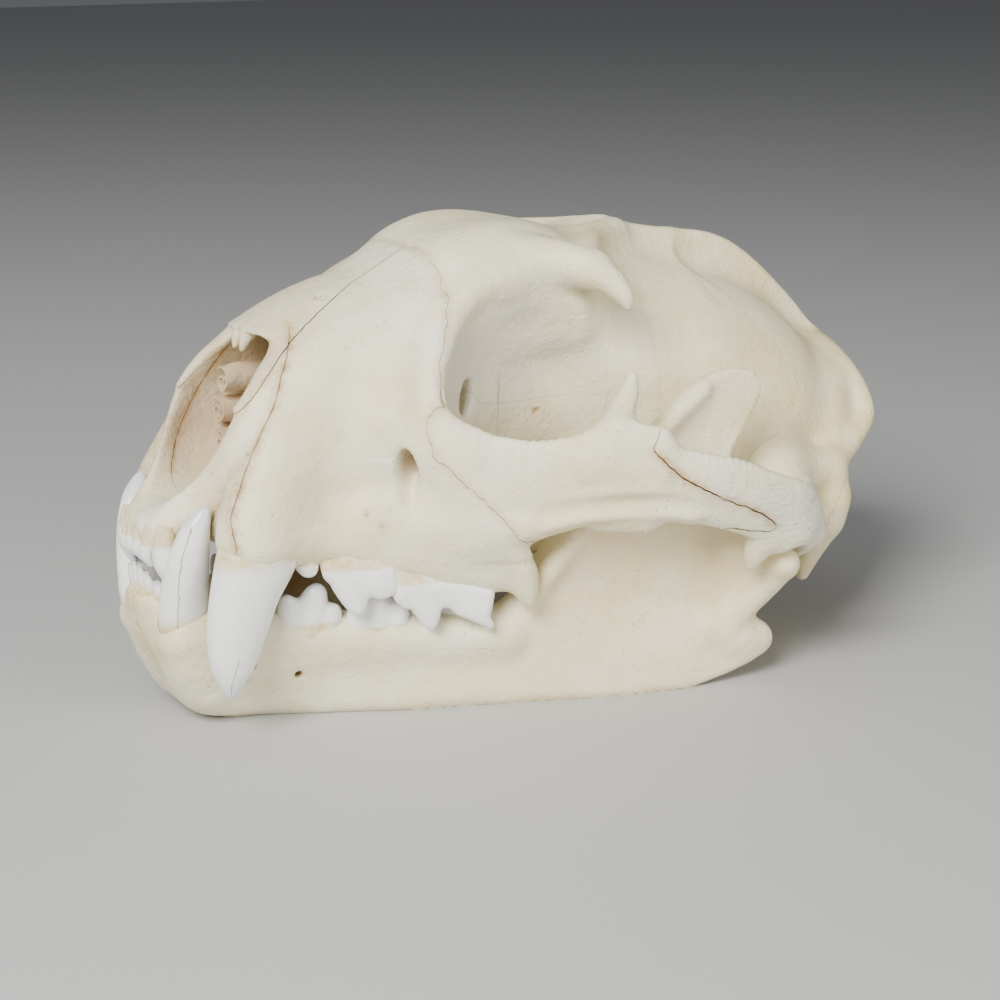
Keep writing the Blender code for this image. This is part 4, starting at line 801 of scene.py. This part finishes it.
# rows: x, y, gum height, tip height, half breadth, from the middle outwards
incisors = {
    "upper": {"host": "premaxilla_", "lean": 0.8,
              "rows": [(3.4, 1.9, 43.4, 38.8, 1.5), (3.9, 5.3, 43, 38, 1.6), (5.8, 9.4, 43.4, 35.4, 2.3)]},
    "lower": {"host": "mandible_", "lean": -0.6,
              "rows": [(4.2, 1.5, 32.4, 37, 1.2), (4.6, 4.2, 32, 36, 1.3), (5.8, 7, 31.4, 34.4, 1.6)]}}


def incisorRows(x, y, gum, tip, half, lean):
    up = 1 if tip > gum else -1
    return [(x + 1.2, y, gum - 4 * up, half * 0.9, half * 0.6), (x + 0.6, y, gum, half * 1.1, half * 0.9),
        (x, y, (gum + tip) / 2, half * 0.9, half), (x + lean, y, tip, half * 0.4, half * 0.8)]


def sheets():
    # the thin cuts that part the skull into its bones
    yield strip([(-6, 0, 8), (-6, 0, 60), (-6, 0, 114)], [(1, 0, 0)] * 3, 0, 92.3, 0.12, 0, 2)
    yield strip([(80, 0, 64.6), (80, 0, 90), (80, 0, 114)], [(1, 0, 0)] * 3, 0, 44, 0.12, 0, 3)
    for side in (-1, 1):
        seam = [(x, side * y, z) for x, y, z in nasalSeam]
        axis = np.interp([p[0] for p in seam], *np.transpose(nasalAxis))
        ways = [(0, -side * max(y, 3), middle - z) for (x, y, z), middle in zip(nasalSeam, axis)]
        yield strip(seam, ways, 6, [8, 8, 10, 13, 15, 16, 16, 15, 13], 0.24, 0.1, 4 + side)
        yield across(premaxillaSeam[3:], 6, 30, side, 0.26, 0.1, 6 + side)
        yield across(premaxillaSeam[:5], -1, 30, side, 0.3, 0.12, 8 + side)
        yield upright(jugalInner, 38, 77, side)
        yield across(jugalSeam, 24, 56, side, 0.14, 0.5, 11 + side)
        yield across(archSeam, 44, 76, side, 0.34, 0.22, 14 + side)
        yield upright(archRootSeam, 22, 64, side)
    yield across(nasalEnd, -8, 8, 1, 0.14, 0.2, 20)
    yield across(frontalSeam, -43, 43, 1, [0.2] * 6 + [0.06] * 4, [0.7] * 6 + [0.1] * 4, 21)
    yield across(coronalSeam, -60, 60, 1, 0.05, 0.4, 22)
    yield across(palateSeam, -43, 43, 1, 0.14, 0.3, 23)
    yield across(sphenoidSeam, -24, 24, 1, 0.14, 0.3, 24)
    yield across(occiputSeam, -60, 60, 1, 0.12, 0.3, 25)


def placed(thing):
    # from millimetres over the mid plane to the shared frame in metres
    thing.data.transform(Matrix.Scale(metre, 4) @ Matrix.Translation((-middleX, 0, 0)))
    return thing


def joined(thing, finishSlot, *nodes):
    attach(thing, "root")
    if nodes:
        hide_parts(*nodes)


def smoothed(thing, angle):
    thing.data.shade_smooth()
    thing.data.set_sharp_from_angle(angle=math.radians(angle))
    return thing


# Painted weights on the bone

def blobs(points, rows):
    # soft spots: x, |y|, z, reach and strength
    side = np.abs(points[:, 1])
    total = np.zeros(len(points))
    for x, y, z, reach, strength in rows:
        gap = (points[:, 0] - x) ** 2 + (side - y) ** 2 + (points[:, 2] - z) ** 2
        total = np.maximum(total, strength * np.exp(-gap / reach ** 2))
    return total


def nearLine(points, line, flat, reach):
    # closeness to a line, in x and z only when flat
    rows = curveThrough(line, 6)
    best = np.full(len(points), 1e9)
    where = np.column_stack([points[:, 0], np.abs(points[:, 1]), points[:, 2]])
    if flat:
        where = where[:, [0, 2]]
    for a, b in zip(rows, rows[1:]):
        run = b - a
        t = np.clip((where - a) @ run / (run @ run), 0, 1)
        best = np.minimum(best, ((where - a - t[:, None] * run) ** 2).sum(1))
    return np.exp(-best / reach ** 2)


# x, |y|, z, reach and strength of each patch on the bone
boneSpots = {
    "yellow": [
        (150, 8, 98, 14, 0.5), (170, 6, 90, 14, 0.7), (186, 20, 62, 10, 0.6), (168, 37, 40, 9, 0.6),
        (166, 29, 20, 9, 0.9), (100, 44, 25, 22, 0.55), (118, 46, 14, 16, 0.5), (86, 40, 34, 14, 0.35),
        (128, 46, 22, 14, 0.6), (45, 22, 50, 14, 0.25), (14, 10, 24, 7, 0.7), (10, 4, 22, 8, 0.5),
        (112, 20, 96, 14, 0.35), (78, 30, 100, 12, 0.2), (60, 28, 40, 14, 0.25), (134, 36, 60, 16, 0.5),
        (150, 30, 66, 24, 0.6), (186, 14, 64, 16, 0.9), (178, 34, 50, 14, 0.9), (160, 30, 40, 14, 0.8),
        (90, 30, 66, 14, 0.35), (152, 20, 20, 12, 0.6), (100, 12, 40, 20, 0.4), (48, 10, 38, 20, 0.3)],
    "peach": [
        (97, 43, 36, 13, 0.8), (108, 46, 40, 9, 0.5), (124, 46, 30, 10, 0.5), (76, 38, 48, 7, 0.4),
        (122, 55, 34, 6, 0.5)],
    "grey": [
        (78, 26, 76, 12, 1.0), (88, 24, 72, 13, 0.8), (72, 27, 78, 9, 1.0), (68, 27, 70, 7, 0.8),
        (86, 24, 88, 9, 0.7), (96, 24, 60, 10, 0.4)],
    "pink": [
        (26, 8, 64, 13, 1.0), (40, 8, 70, 16, 1.0), (16, 6, 57, 6, 0.4), (56, 6, 74, 12, 1.0)],
    "chalk": [
        (136, 62, 44, 8, 1.0), (128, 62, 47, 8, 0.8), (116, 62, 54, 7, 0.45), (142, 58, 40, 8, 1.0)],
    "rough": [
        (104, 34, 98, 5, 1.0), (108, 30, 88, 6, 0.4), (6, 1, 16, 8, 0.8), (8, 1, 24, 7, 0.7),
        (140, 62, 42, 8, 0.7), (97, 45, 76, 4, 0.5), (191, 4, 66, 6, 0.7), (186, 29, 55, 5, 0.5),
        (142, 45, 9, 5, 0.5)]}
# x, |y|, z, reach and strength of spots in the mouth gap where faces turned inwards get painted shade with
# tan stain
mouthShadeAndStainSpots = [(34, 12, 26, 14, 1.0), (48, 16, 28, 14, 0.9), (40, 10, 38, 14, 1.0), (28, 12, 34, 8, 0.8),
    (60, 22, 26, 10, 0.6)]


# x, |y|, z, reach and strength of painted shade inside the holes for nerves and vessels and the tear hole
holeShadeSpots = [(57, 28.6, 58.6, 2.8, 1.0), (71.5, 14, 68.6, 3, 0.8), (23, 13.8, 15.1, 1.6, 1.0),
    (22, 13, 11.4, 1.4, 1.0), (34, 15.4, 11.2, 1.5, 1.0), (45.6, 6.4, 92.3, 0.9, 0.9),
    (21.1, 20.5, 63.4, 0.8, 0.6), (45.3, 28.2, 48.6, 0.7, 0.8), (47.9, 30, 46, 0.7, 0.8),
    (95.7, 16.8, 63, 1, 1.0)]


def paint(thing, weights):
    for name, values in weights.items():
        layer = thing.data.attributes.new(name, "FLOAT", "POINT")
        layer.data.foreach_set("value", values.astype(np.float32))


def weigh(thing, isJaw):
    points = pointsOf(thing)
    side = np.abs(points[:, 1])
    weights = {name: blobs(points, spots) for name, spots in boneSpots.items()}
    inside = np.clip((17.5 - side) / 3, 0, 1) * np.clip((points[:, 0] - 8) / 6, 0, 1)
    weights["pink"] = weights["pink"] * inside
    seams = np.zeros(len(points))
    if isJaw:
        for name in ("grey", "pink", "chalk"):
            weights[name] = weights[name] * 0
        weights["yellow"] = np.maximum(weights["yellow"],
            0.7 * np.exp(-((side - 0.2) / 2.2) ** 2) * (points[:, 0] < 40))
    else:
        weights["peach"] = weights["peach"] * 0.6
        outerFace = side > 8
        seams = nearLine(points, nasalSeam, False, 1.3) * 0.75
        seams = np.maximum(seams, nearLine(points, premaxillaSeam, True, 0.9) * outerFace)
        seams = np.maximum(seams, nearLine(points, frontalSeam[1:7], True, 1.1) * (side < 36) * 0.55)
        seams = np.maximum(seams, nearLine(points, jugalSeam, True, 0.9) * (side > 24) * 0.5)
        seams = np.maximum(seams, nearLine(points, archSeam[2:7], True, 1.1) * (side > 50))
        seams = np.maximum(seams, nearLine(points, coronalSeam, True, 0.9) * 0.1)
    weights["seam"] = seams
    normals = np.zeros(len(points) * 3)
    thing.data.vertices.foreach_get("normal", normals)
    normals = normals.reshape(-1, 3)
    # faces turned inwards, and for the cranium faces turned down, get painted shade with tan stain near the
    # mouth spots; inside the small holes the tan is painted shade
    facingIn = np.clip(-normals[:, 1] * np.sign(points[:, 1]) * 2 - 0.2, 0, 1)
    if not isJaw:
        facingIn = np.maximum(facingIn, np.clip(-normals[:, 2] * 2 - 0.4, 0, 1) * (side < 22))
    weights["painted_shade_and_mouth_stain"] = np.maximum(facingIn * blobs(points, mouthShadeAndStainSpots), blobs(points, holeShadeSpots))
    paint(thing, {name: np.clip(values, 0, 1) for name, values in weights.items()})


# Finishes

class Finish:
    # small helpers to wire a material's nodes

    def __init__(self, name):
        self.material = bpy.data.materials.new(name)
        self.material.use_nodes = True
        self.tree = self.material.node_tree
        self.shader = self.tree.nodes["Principled BSDF"]
        self.spot = self.node("ShaderNodeTexCoord").outputs["Object"]

    def node(self, kind, **values):
        made = self.tree.nodes.new(kind)
        for name, value in values.items():
            setattr(made, name, value)
        return made

    def link(self, source, target):
        self.tree.links.new(source, target)

    def noise(self, scale, detail=4.0, rough=0.55, stretch=None, twist=0.0):
        place = self.spot
        if stretch:
            mapping = self.node("ShaderNodeMapping")
            mapping.inputs["Scale"].default_value = stretch[0]
            mapping.inputs["Rotation"].default_value = stretch[1]
            self.link(place, mapping.inputs["Vector"])
            place = mapping.outputs["Vector"]
        made = self.node("ShaderNodeTexNoise")
        made.inputs["Scale"].default_value = scale
        made.inputs["Detail"].default_value = detail
        made.inputs["Roughness"].default_value = rough
        made.inputs["Distortion"].default_value = twist
        self.link(place, made.inputs["Vector"])
        return made.outputs["Fac"]

    def ramp(self, source, low, high, start=0.0, end=1.0):
        made = self.node("ShaderNodeMapRange", clamp=True)
        made.inputs["From Min"].default_value = low
        made.inputs["From Max"].default_value = high
        made.inputs["To Min"].default_value = start
        made.inputs["To Max"].default_value = end
        self.link(source, made.inputs["Value"])
        return made.outputs["Result"]

    def maths(self, kind, a, b=None):
        made = self.node("ShaderNodeMath", operation=kind)
        for value, socket in ((a, made.inputs[0]), (b, made.inputs[1])):
            if value is None:
                continue
            if isinstance(value, (int, float)):
                socket.default_value = value
            else:
                self.link(value, socket)
        return made.outputs[0]

    def times(self, a, b):
        return self.maths("MULTIPLY", a, b)

    def weight(self, name):
        return self.node("ShaderNodeAttribute", attribute_name=name).outputs["Fac"]

    def blend(self, share, a, b):
        made = self.node("ShaderNodeMix", data_type="RGBA", clamp_factor=True)
        self.link(share, made.inputs["Factor"])
        for value, socket in ((a, made.inputs[6]), (b, made.inputs[7])):
            if isinstance(value, tuple):
                socket.default_value = (*value, 1)
            else:
                self.link(value, socket)
        return made.outputs[2]

    def bump(self, height, strength, distance):
        made = self.node("ShaderNodeBump")
        made.inputs["Strength"].default_value = strength
        made.inputs["Distance"].default_value = distance
        self.link(height, made.inputs["Height"])
        return made.outputs["Normal"]

    def finished(self, colour, gloss, normal, depth, radius):
        # depth is the share of light that passes under the surface
        for source, name in ((colour, "Base Color"), (gloss, "Roughness"), (normal, "Normal")):
            self.link(source, self.shader.inputs[name])
        self.shader.inputs["Subsurface Weight"].default_value = depth
        self.shader.inputs["Subsurface Radius"].default_value = radius
        return self.material


# tan is the stain along the seams, and also painted shade in the mouth gap and inside the holes
boneColours = {
    "cream": (0.84, 0.765, 0.50), "white": (0.89, 0.85, 0.67), "yellow": (0.76, 0.60, 0.22),
    "peach": (0.80, 0.60, 0.36), "grey": (0.66, 0.645, 0.64), "pink": (0.52, 0.34, 0.20),
    "chalk": (0.84, 0.83, 0.80), "tan": (0.46, 0.24, 0.07), "pit": (0.36, 0.25, 0.15),
    "streak": (0.42, 0.39, 0.36), "grain": (0.55, 0.47, 0.34)}


def boneFinish():
    f = Finish("dry bleached bone")
    c = boneColours
    mottle = f.noise(160, 5, 0.6)
    fine = f.noise(900, 4, 0.6)
    colour = f.blend(f.ramp(f.noise(42, 3, 0.5), 0.38, 0.64), c["cream"], c["white"])
    colour = f.blend(f.ramp(mottle, 0.48, 0.72, 0, 0.34), colour, c["yellow"])
    patch = f.ramp(f.noise(75, 4, 0.6), 0.3, 0.6, 0.35, 1)
    colour = f.blend(f.times(f.weight("yellow"), patch), colour, c["yellow"])
    colour = f.blend(f.times(f.times(f.weight("peach"), patch), 0.7), colour, c["peach"])
    # the third weight blends tan as painted shade inside the holes, and as painted shade with stain on faces
    # turned into the mouth
    for name, strength, tint in (("grey", 0.85, "grey"), ("pink", 0.9, "pink"), ("painted_shade_and_mouth_stain", 0.85, "tan"),
                                 ("chalk", 0.8, "chalk")):
        colour = f.blend(f.times(f.weight(name), strength), colour, c[tint])
    # grey streaks along the chalky face of the arch
    chalk = f.weight("chalk")
    streak = f.noise(160, 5, 0.65, ((1, 1, 6), (0, math.radians(-28), 0)), 0.4)
    colour = f.blend(f.times(f.times(f.ramp(streak, 0.52, 0.66), chalk), 0.45), colour, c["streak"])
    # seams
    broken = f.ramp(f.noise(420, 3, 0.6), 0.35, 0.62, 0.25, 1)
    colour = f.blend(f.times(f.times(f.weight("seam"), broken), 0.85), colour, c["tan"])
    # tiny pores, more of them where the bone is rough
    cells = f.node("ShaderNodeTexVoronoi")
    cells.inputs["Scale"].default_value = 420
    f.link(f.spot, cells.inputs["Vector"])
    some = f.times(f.ramp(f.noise(60, 2, 0.5), 0.52, 0.6), 0.35)
    pore = f.times(f.ramp(cells.outputs["Distance"], 0.05, 0.16, 1, 0),
        f.maths("MAXIMUM", some, f.weight("rough")))
    colour = f.blend(f.times(pore, 0.7), colour, c["pit"])
    colour = f.blend(f.ramp(fine, 0.35, 0.65, 0.12, 0), colour, c["grain"])
    gloss = f.maths("MAXIMUM", f.ramp(mottle, 0.3, 0.7, 0.42, 0.62), f.times(chalk, 0.8))
    height = f.maths("ADD", f.times(fine, 0.5), f.noise(330, 5, 0.6))
    height = f.maths("SUBTRACT", height, f.times(pore, 1.2))
    rough = f.times(f.maths("MAXIMUM", f.weight("rough"), f.times(chalk, 0.5)), f.noise(650, 5, 0.7))
    height = f.maths("ADD", height, f.times(rough, 2.2))
    height = f.maths("ADD", height, f.times(f.times(streak, chalk), 1.6))
    return f.finished(colour, gloss, f.bump(height, 0.7, 0.0006), 0.06, (0.004, 0.0025, 0.0015))


enamelColours = {"white": (0.88, 0.875, 0.84), "bright": (0.92, 0.925, 0.91), "stain": (0.74, 0.58, 0.27),
                 "tip": (0.60, 0.67, 0.74), "line": (0.6, 0.6, 0.56), "crack": (0.25, 0.14, 0.07)}


def enamelFinish():
    f = Finish("tooth enamel")
    c = enamelColours
    mottle = f.noise(260, 4, 0.55)
    colour = f.blend(f.ramp(mottle, 0.35, 0.7), c["white"], c["bright"])
    stain = f.times(f.weight("gum"), f.ramp(f.noise(520, 4, 0.6), 0.3, 0.62, 0.35, 1))
    colour = f.blend(stain, colour, c["stain"])
    colour = f.blend(f.times(f.weight("tip"), 0.7), colour, c["tip"])
    lines = f.noise(700, 3, 0.5, ((5, 5, 0.4), (0, 0, 0)))
    colour = f.blend(f.ramp(lines, 0.6, 0.75, 0, 0.12), colour, c["line"])
    wander = f.times(f.maths("SUBTRACT", f.noise(260, 3, 0.6), 0.5), 1.6)
    crack = f.ramp(f.maths("ABSOLUTE", f.maths("ADD", f.weight("offCrack"), wander)), 0.05, 0.17, 1, 0)
    colour = f.blend(f.times(crack, 0.75), colour, c["crack"])
    height = f.maths("ADD", f.noise(500, 3, 0.5), f.times(lines, 0.6))
    height = f.maths("SUBTRACT", height, f.times(crack, 1.5))
    return f.finished(colour, f.ramp(mottle, 0.3, 0.7, 0.1, 0.2), f.bump(height, 0.16, 0.00025), 0.1,
        (0.003, 0.0026, 0.0022))


# edges sharper than this many degrees stay crisp
boneAngle = 42
thinAngle = 60
bone = boneFinish()
enamel = enamelFinish()
print("finishes made")


# Cranium

smallestBone = 300
clay = cranium(boneGrain)
points, faces = meshOf(clay.field, clay.low, boneGrain, True)
for grain in unevenness["cranium"]:
    points = points + shake(points, *grain)
skull = newObject("skull", points, faces)
print("skull clay", len(faces), "faces")
for sheet in sheets():
    cutBy(skull, sheet)
print("skull parted")
bpy.context.view_layer.objects.active = skull
for thing in bpy.context.selected_objects:
    thing.select_set(False)
skull.select_set(True)
bpy.ops.object.mode_set(mode="EDIT")
bpy.ops.mesh.separate(type="LOOSE")
bpy.ops.object.mode_set(mode="OBJECT")
loose = list(bpy.context.selected_objects)
wanted = {name: np.array(middle, float) for name, middle in middleBones.items()}
for name, (x, y, z) in boneMiddles.items():
    for label, side in sides:
        wanted[name + "_" + label] = np.array((x, side * y, z))
bones = {}
for thing in sorted(loose, key=lambda thing: -len(thing.data.vertices)):
    spots = pointsOf(thing)
    middle = (spots.min(0) + spots.max(0)) / 2
    name = min(wanted, key=lambda n: np.linalg.norm(wanted[n] - middle))
    # crumbs that a cut leaves behind are dropped
    if name in bones or len(spots) < smallestBone:
        bpy.data.objects.remove(thing)
        continue
    bones[name] = thing
    thing.name = name + "_bone"
    thing.data.name = thing.name


# Lower jaw

footHeight = 0.3
clay = jaw(boneGrain)
points, faces = meshOf(clay.field, clay.low, boneGrain, False)
flat = points[:, 2] < footHeight
for name, side in sides:
    spots = points * (1, side, 1)
    moved = spots
    for grain in unevenness["mandible"]:
        moved = moved + shake(spots, *grain)
    moved[flat] = spots[flat]
    moved[flat, 2] = 0
    half = newObject("mandible_" + name + "_bone", moved, faces if side > 0 else faces[:, ::-1])
    bones["mandible_" + name] = half

for name, thing in bones.items():
    weigh(thing, name.startswith("mandible"))
print("bones", sorted(bones))


# Teeth

def weighTooth(thing, gumHeight, tipHeight, crackLine=None):
    points = pointsOf(thing)
    share = (points[:, 2] - gumHeight) / (tipHeight - gumHeight)
    offLine = np.full(len(points), 9.0)
    if crackLine:
        # millimetres across the tooth from the crack, far away on its inner side and past the crack's ends
        x, y, z = np.transpose(crackLine)
        low, high = z.min(), z.max()
        line = np.interp(points[:, 2], z, x)
        middle = np.interp(points[:, 2], z, y)
        beyond = np.maximum(np.maximum(low - points[:, 2], points[:, 2] - high), 0)
        inner = np.maximum(middle - np.abs(points[:, 1]), 0)
        offLine = points[:, 0] - line
        offLine = offLine + np.where(offLine < 0, -1, 1) * (beyond + inner)
    values = {"gum": np.clip(1 - share / 0.1, 0, 1) ** 1.5, "tip": np.clip((share - 0.78) / 0.22, 0, 1),
        "offCrack": np.clip(offLine, -9, 9)}
    paint(thing, values)


def tooth(name, shape, side, slotName, nodes, gum, tip, crackLine=None):
    points, faces = shape
    points = np.array(points, float) * (1, side, 1)
    thing = outward(name, points, [tuple(f) for f in faces])
    weighTooth(thing, gum, tip, crackLine)
    thing.data.materials.append(enamel)
    placed(smoothed(thing, thinAngle))
    joined(thing, slotName, *nodes)


def sockets(name, side):
    for canine in canines.values():
        points, faces = spike(grown(canine["rows"], toothGap), *toothDetail["socket"])
        for host in canine["hosts"]:
            cutBy(bones[host + name], outward("socket", np.array(points) * (1, side, 1), faces))


# how far the stain at the gum reaches up a cheek tooth's box
gumDepth = {"upper": 4.6, "lower": 5}
shapesOfTeeth = {label: cuspedTooth(cusps, toothGrain) for label, cusps in cheekTeeth.items()}
for name, side in sides:
    sockets(name, side)
    finishSlot = "upper_canine_" + name
    for place, canine in canines.items():
        node = place + "_canine_" + name
        shape = spike(canine["rows"], *toothDetail["canine"])
        tooth(node + "_tooth", shape, side, node, [node], canine["gum"], canine["tip"], canine["crack"])
    for label, shape in shapesOfTeeth.items():
        heights = np.array(shape[0])[:, 2]
        if label.startswith("upper"):
            host, gum, tip = "maxilla_", heights.max() - gumDepth["upper"], heights.min()
        else:
            host, gum, tip = "mandible_", heights.min() + gumDepth["lower"], heights.max()
        tooth(label.replace(" ", "_") + "_" + name, shape, side, finishSlot, [host + name], gum, tip)
    for place, row in incisors.items():
        for i, sizes in enumerate(row["rows"]):
            shape = spike(incisorRows(*sizes, row["lean"]), *toothDetail["incisor"])
            label = "%s_incisor_%d_%s" % (place, i + 1, name)
            tooth(label, shape, side, finishSlot, [row["host"] + name], sizes[2], sizes[3])

for name, thing in bones.items():
    thing.data.materials.clear()
    thing.data.materials.append(bone)
    placed(smoothed(thing, boneAngle))
    joined(thing, name, name)
print("teeth set")


# Thin scrolls of bone in the nose

noseScroll = {"startX": 29, "length": 22, "innerRadius": 0.6, "radius": 3.5, "turns": 1.35, "thick": 0.5,
              "places": [(10.4, 58), (11.2, 65.5), (9.2, 73)], "points": 26, "steps": 24}


def rolledSheets():
    group = bpy.data.node_groups.new("rolled sheets", "GeometryNodeTree")
    for label, kind in (("Places", "Geometry"), ("Radius", "Float"), ("Length", "Float"),
                        ("Turns", "Float"), ("Finish", "Material")):
        group.interface.new_socket(label, in_out="INPUT", socket_type="NodeSocket" + kind)
    group.interface.new_socket("Sheets", in_out="OUTPUT", socket_type="NodeSocketGeometry")
    kinds = {"start": "NodeGroupInput", "end": "NodeGroupOutput",
        "path": "GeometryNodeCurvePrimitiveLine", "reach": "ShaderNodeCombineXYZ",
        "steps": "GeometryNodeResampleCurve", "spiral": "GeometryNodeCurveSpiral",
        "sweep": "GeometryNodeCurveToMesh", "copies": "GeometryNodeInstanceOnPoints",
        "real": "GeometryNodeRealizeInstances", "finish": "GeometryNodeSetMaterial"}
    n = {label: group.nodes.new(kind) for label, kind in kinds.items()}
    n["spiral"].inputs["Resolution"].default_value = noseScroll["points"]
    n["spiral"].inputs["Start Radius"].default_value = noseScroll["innerRadius"]
    n["spiral"].inputs["Height"].default_value = 0
    n["steps"].inputs["Count"].default_value = noseScroll["steps"]
    links = (("start", "Length", "reach", "X"), ("reach", "Vector", "path", "End"),
             ("path", "Curve", "steps", "Curve"), ("start", "Turns", "spiral", "Rotations"),
             ("start", "Radius", "spiral", "End Radius"), ("steps", "Curve", "sweep", "Curve"),
             ("spiral", "Curve", "sweep", "Profile Curve"), ("start", "Places", "copies", "Points"),
             ("sweep", "Mesh", "copies", "Instance"), ("copies", "Instances", "real", "Geometry"),
             ("real", "Geometry", "finish", "Geometry"), ("start", "Finish", "finish", "Material"),
             ("finish", "Geometry", "end", "Sheets"))
    for a, out, b, socket in links:
        group.links.new(n[a].outputs[out], n[b].inputs[socket])
    return group


def noseScrolls():
    size = noseScroll
    spots = [(size["startX"], side * y, z) for side in (-1, 1) for y, z in size["places"]]
    thing = newObject("nose_scrolls", spots, [])
    rolls = thing.modifiers.new("rolls", "NODES")
    rolls.node_group = rolledSheets()
    given = {"Radius": size["radius"], "Length": float(size["length"]), "Turns": size["turns"],
        "Finish": bone}
    for item in rolls.node_group.interface.items_tree:
        if item.in_out == "INPUT" and item.name in given:
            rolls[item.identifier] = given[item.name]
    thick = thing.modifiers.new("thick", "SOLIDIFY")
    thick.thickness = size["thick"]
    thick.offset = 0
    settled(thing)
    spots = pointsOf(thing)
    spots = spots + shake(spots, *unevenness["scrolls"])
    thing.data.vertices.foreach_set("co", spots.ravel())
    weigh(thing, False)
    placed(smoothed(thing, thinAngle))
    joined(thing, "maxilla_left")


noseScrolls()
print("nose scrolls set")


# Floor, light and camera

room = {"floor": 6, "floorGrey": 0.5, "floorGloss": 0.7, "aim": (0, 0, 0.05), "air": (0.86, 0.89, 0.93),
        "airLight": 0.13}
# place, size, power and colour
lamps = {"window": ((-0.72, -0.5, 0.66), 0.45, 20, (1, 0.99, 0.96)),
         "sky": ((-0.3, 0.1, 1.2), 0.9, 2.2, (0.95, 0.975, 1)),
         "side": ((0.3, -0.95, 0.22), 0.5, 6, (1, 0.98, 0.94))}


def studio():
    bpy.ops.mesh.primitive_plane_add(size=room["floor"])
    floor = bpy.context.object
    floor.name = "floor"
    plain = Finish("plain floor")
    plain.shader.inputs["Base Color"].default_value = (*[room["floorGrey"]] * 3, 1)
    plain.shader.inputs["Roughness"].default_value = room["floorGloss"]
    floor.data.materials.append(plain.material)
    floor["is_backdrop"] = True
    for name, (place, size, power, colour) in lamps.items():
        lamp = bpy.data.lights.new(name, "AREA")
        lamp.size = size
        lamp.energy = power
        lamp.color = colour
        thing = bpy.data.objects.new(name, lamp)
        thing.location = place
        thing.rotation_mode = "QUATERNION"
        thing.rotation_quaternion = (Vector(room["aim"]) - Vector(place)).to_track_quat("-Z", "Y")
        bpy.context.scene.collection.objects.link(thing)
    world = bpy.data.worlds.new("room")
    world.use_nodes = True
    world.node_tree.nodes["Background"].inputs["Color"].default_value = (*room["air"], 1)
    world.node_tree.nodes["Background"].inputs["Strength"].default_value = room["airLight"]
    bpy.context.scene.world = world


# the photographer's place: left of the snout, a little above; angles in degrees, place in the skull's frame
view = {"yaw": 31.85, "pitch": 15.48, "place": (-170.03, -428.89, 177.66), "lens": 79.2, "sensor": 36,
        "near": 0.01, "far": 50}


def photoCamera():
    yaw, pitch = math.radians(view["yaw"]), math.radians(view["pitch"])
    ahead = Vector((math.sin(yaw) * math.cos(pitch), math.cos(yaw) * math.cos(pitch), -math.sin(pitch)))
    right = Vector((math.cos(yaw), -math.sin(yaw), 0))
    up = right.cross(ahead)
    lens = bpy.data.cameras.new("camera")
    lens.lens = view["lens"]
    lens.sensor_width = view["sensor"]
    lens.clip_start = view["near"]
    lens.clip_end = view["far"]
    thing = bpy.data.objects.new("camera", lens)
    x, y, z = view["place"]
    place = Vector((x - middleX, y, z)) * metre
    thing.matrix_world = Matrix.Translation(place) @ Matrix((right, up, -ahead)).transposed().to_4x4()
    bpy.context.scene.collection.objects.link(thing)
    bpy.context.scene.camera = thing


studio()
photoCamera()
print("light and camera set")
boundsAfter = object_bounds()
sizes = {"before": [list(corner) for corner in boundsBefore],
    "after": [list(corner) for corner in boundsAfter]}
print("sizes", sizes)
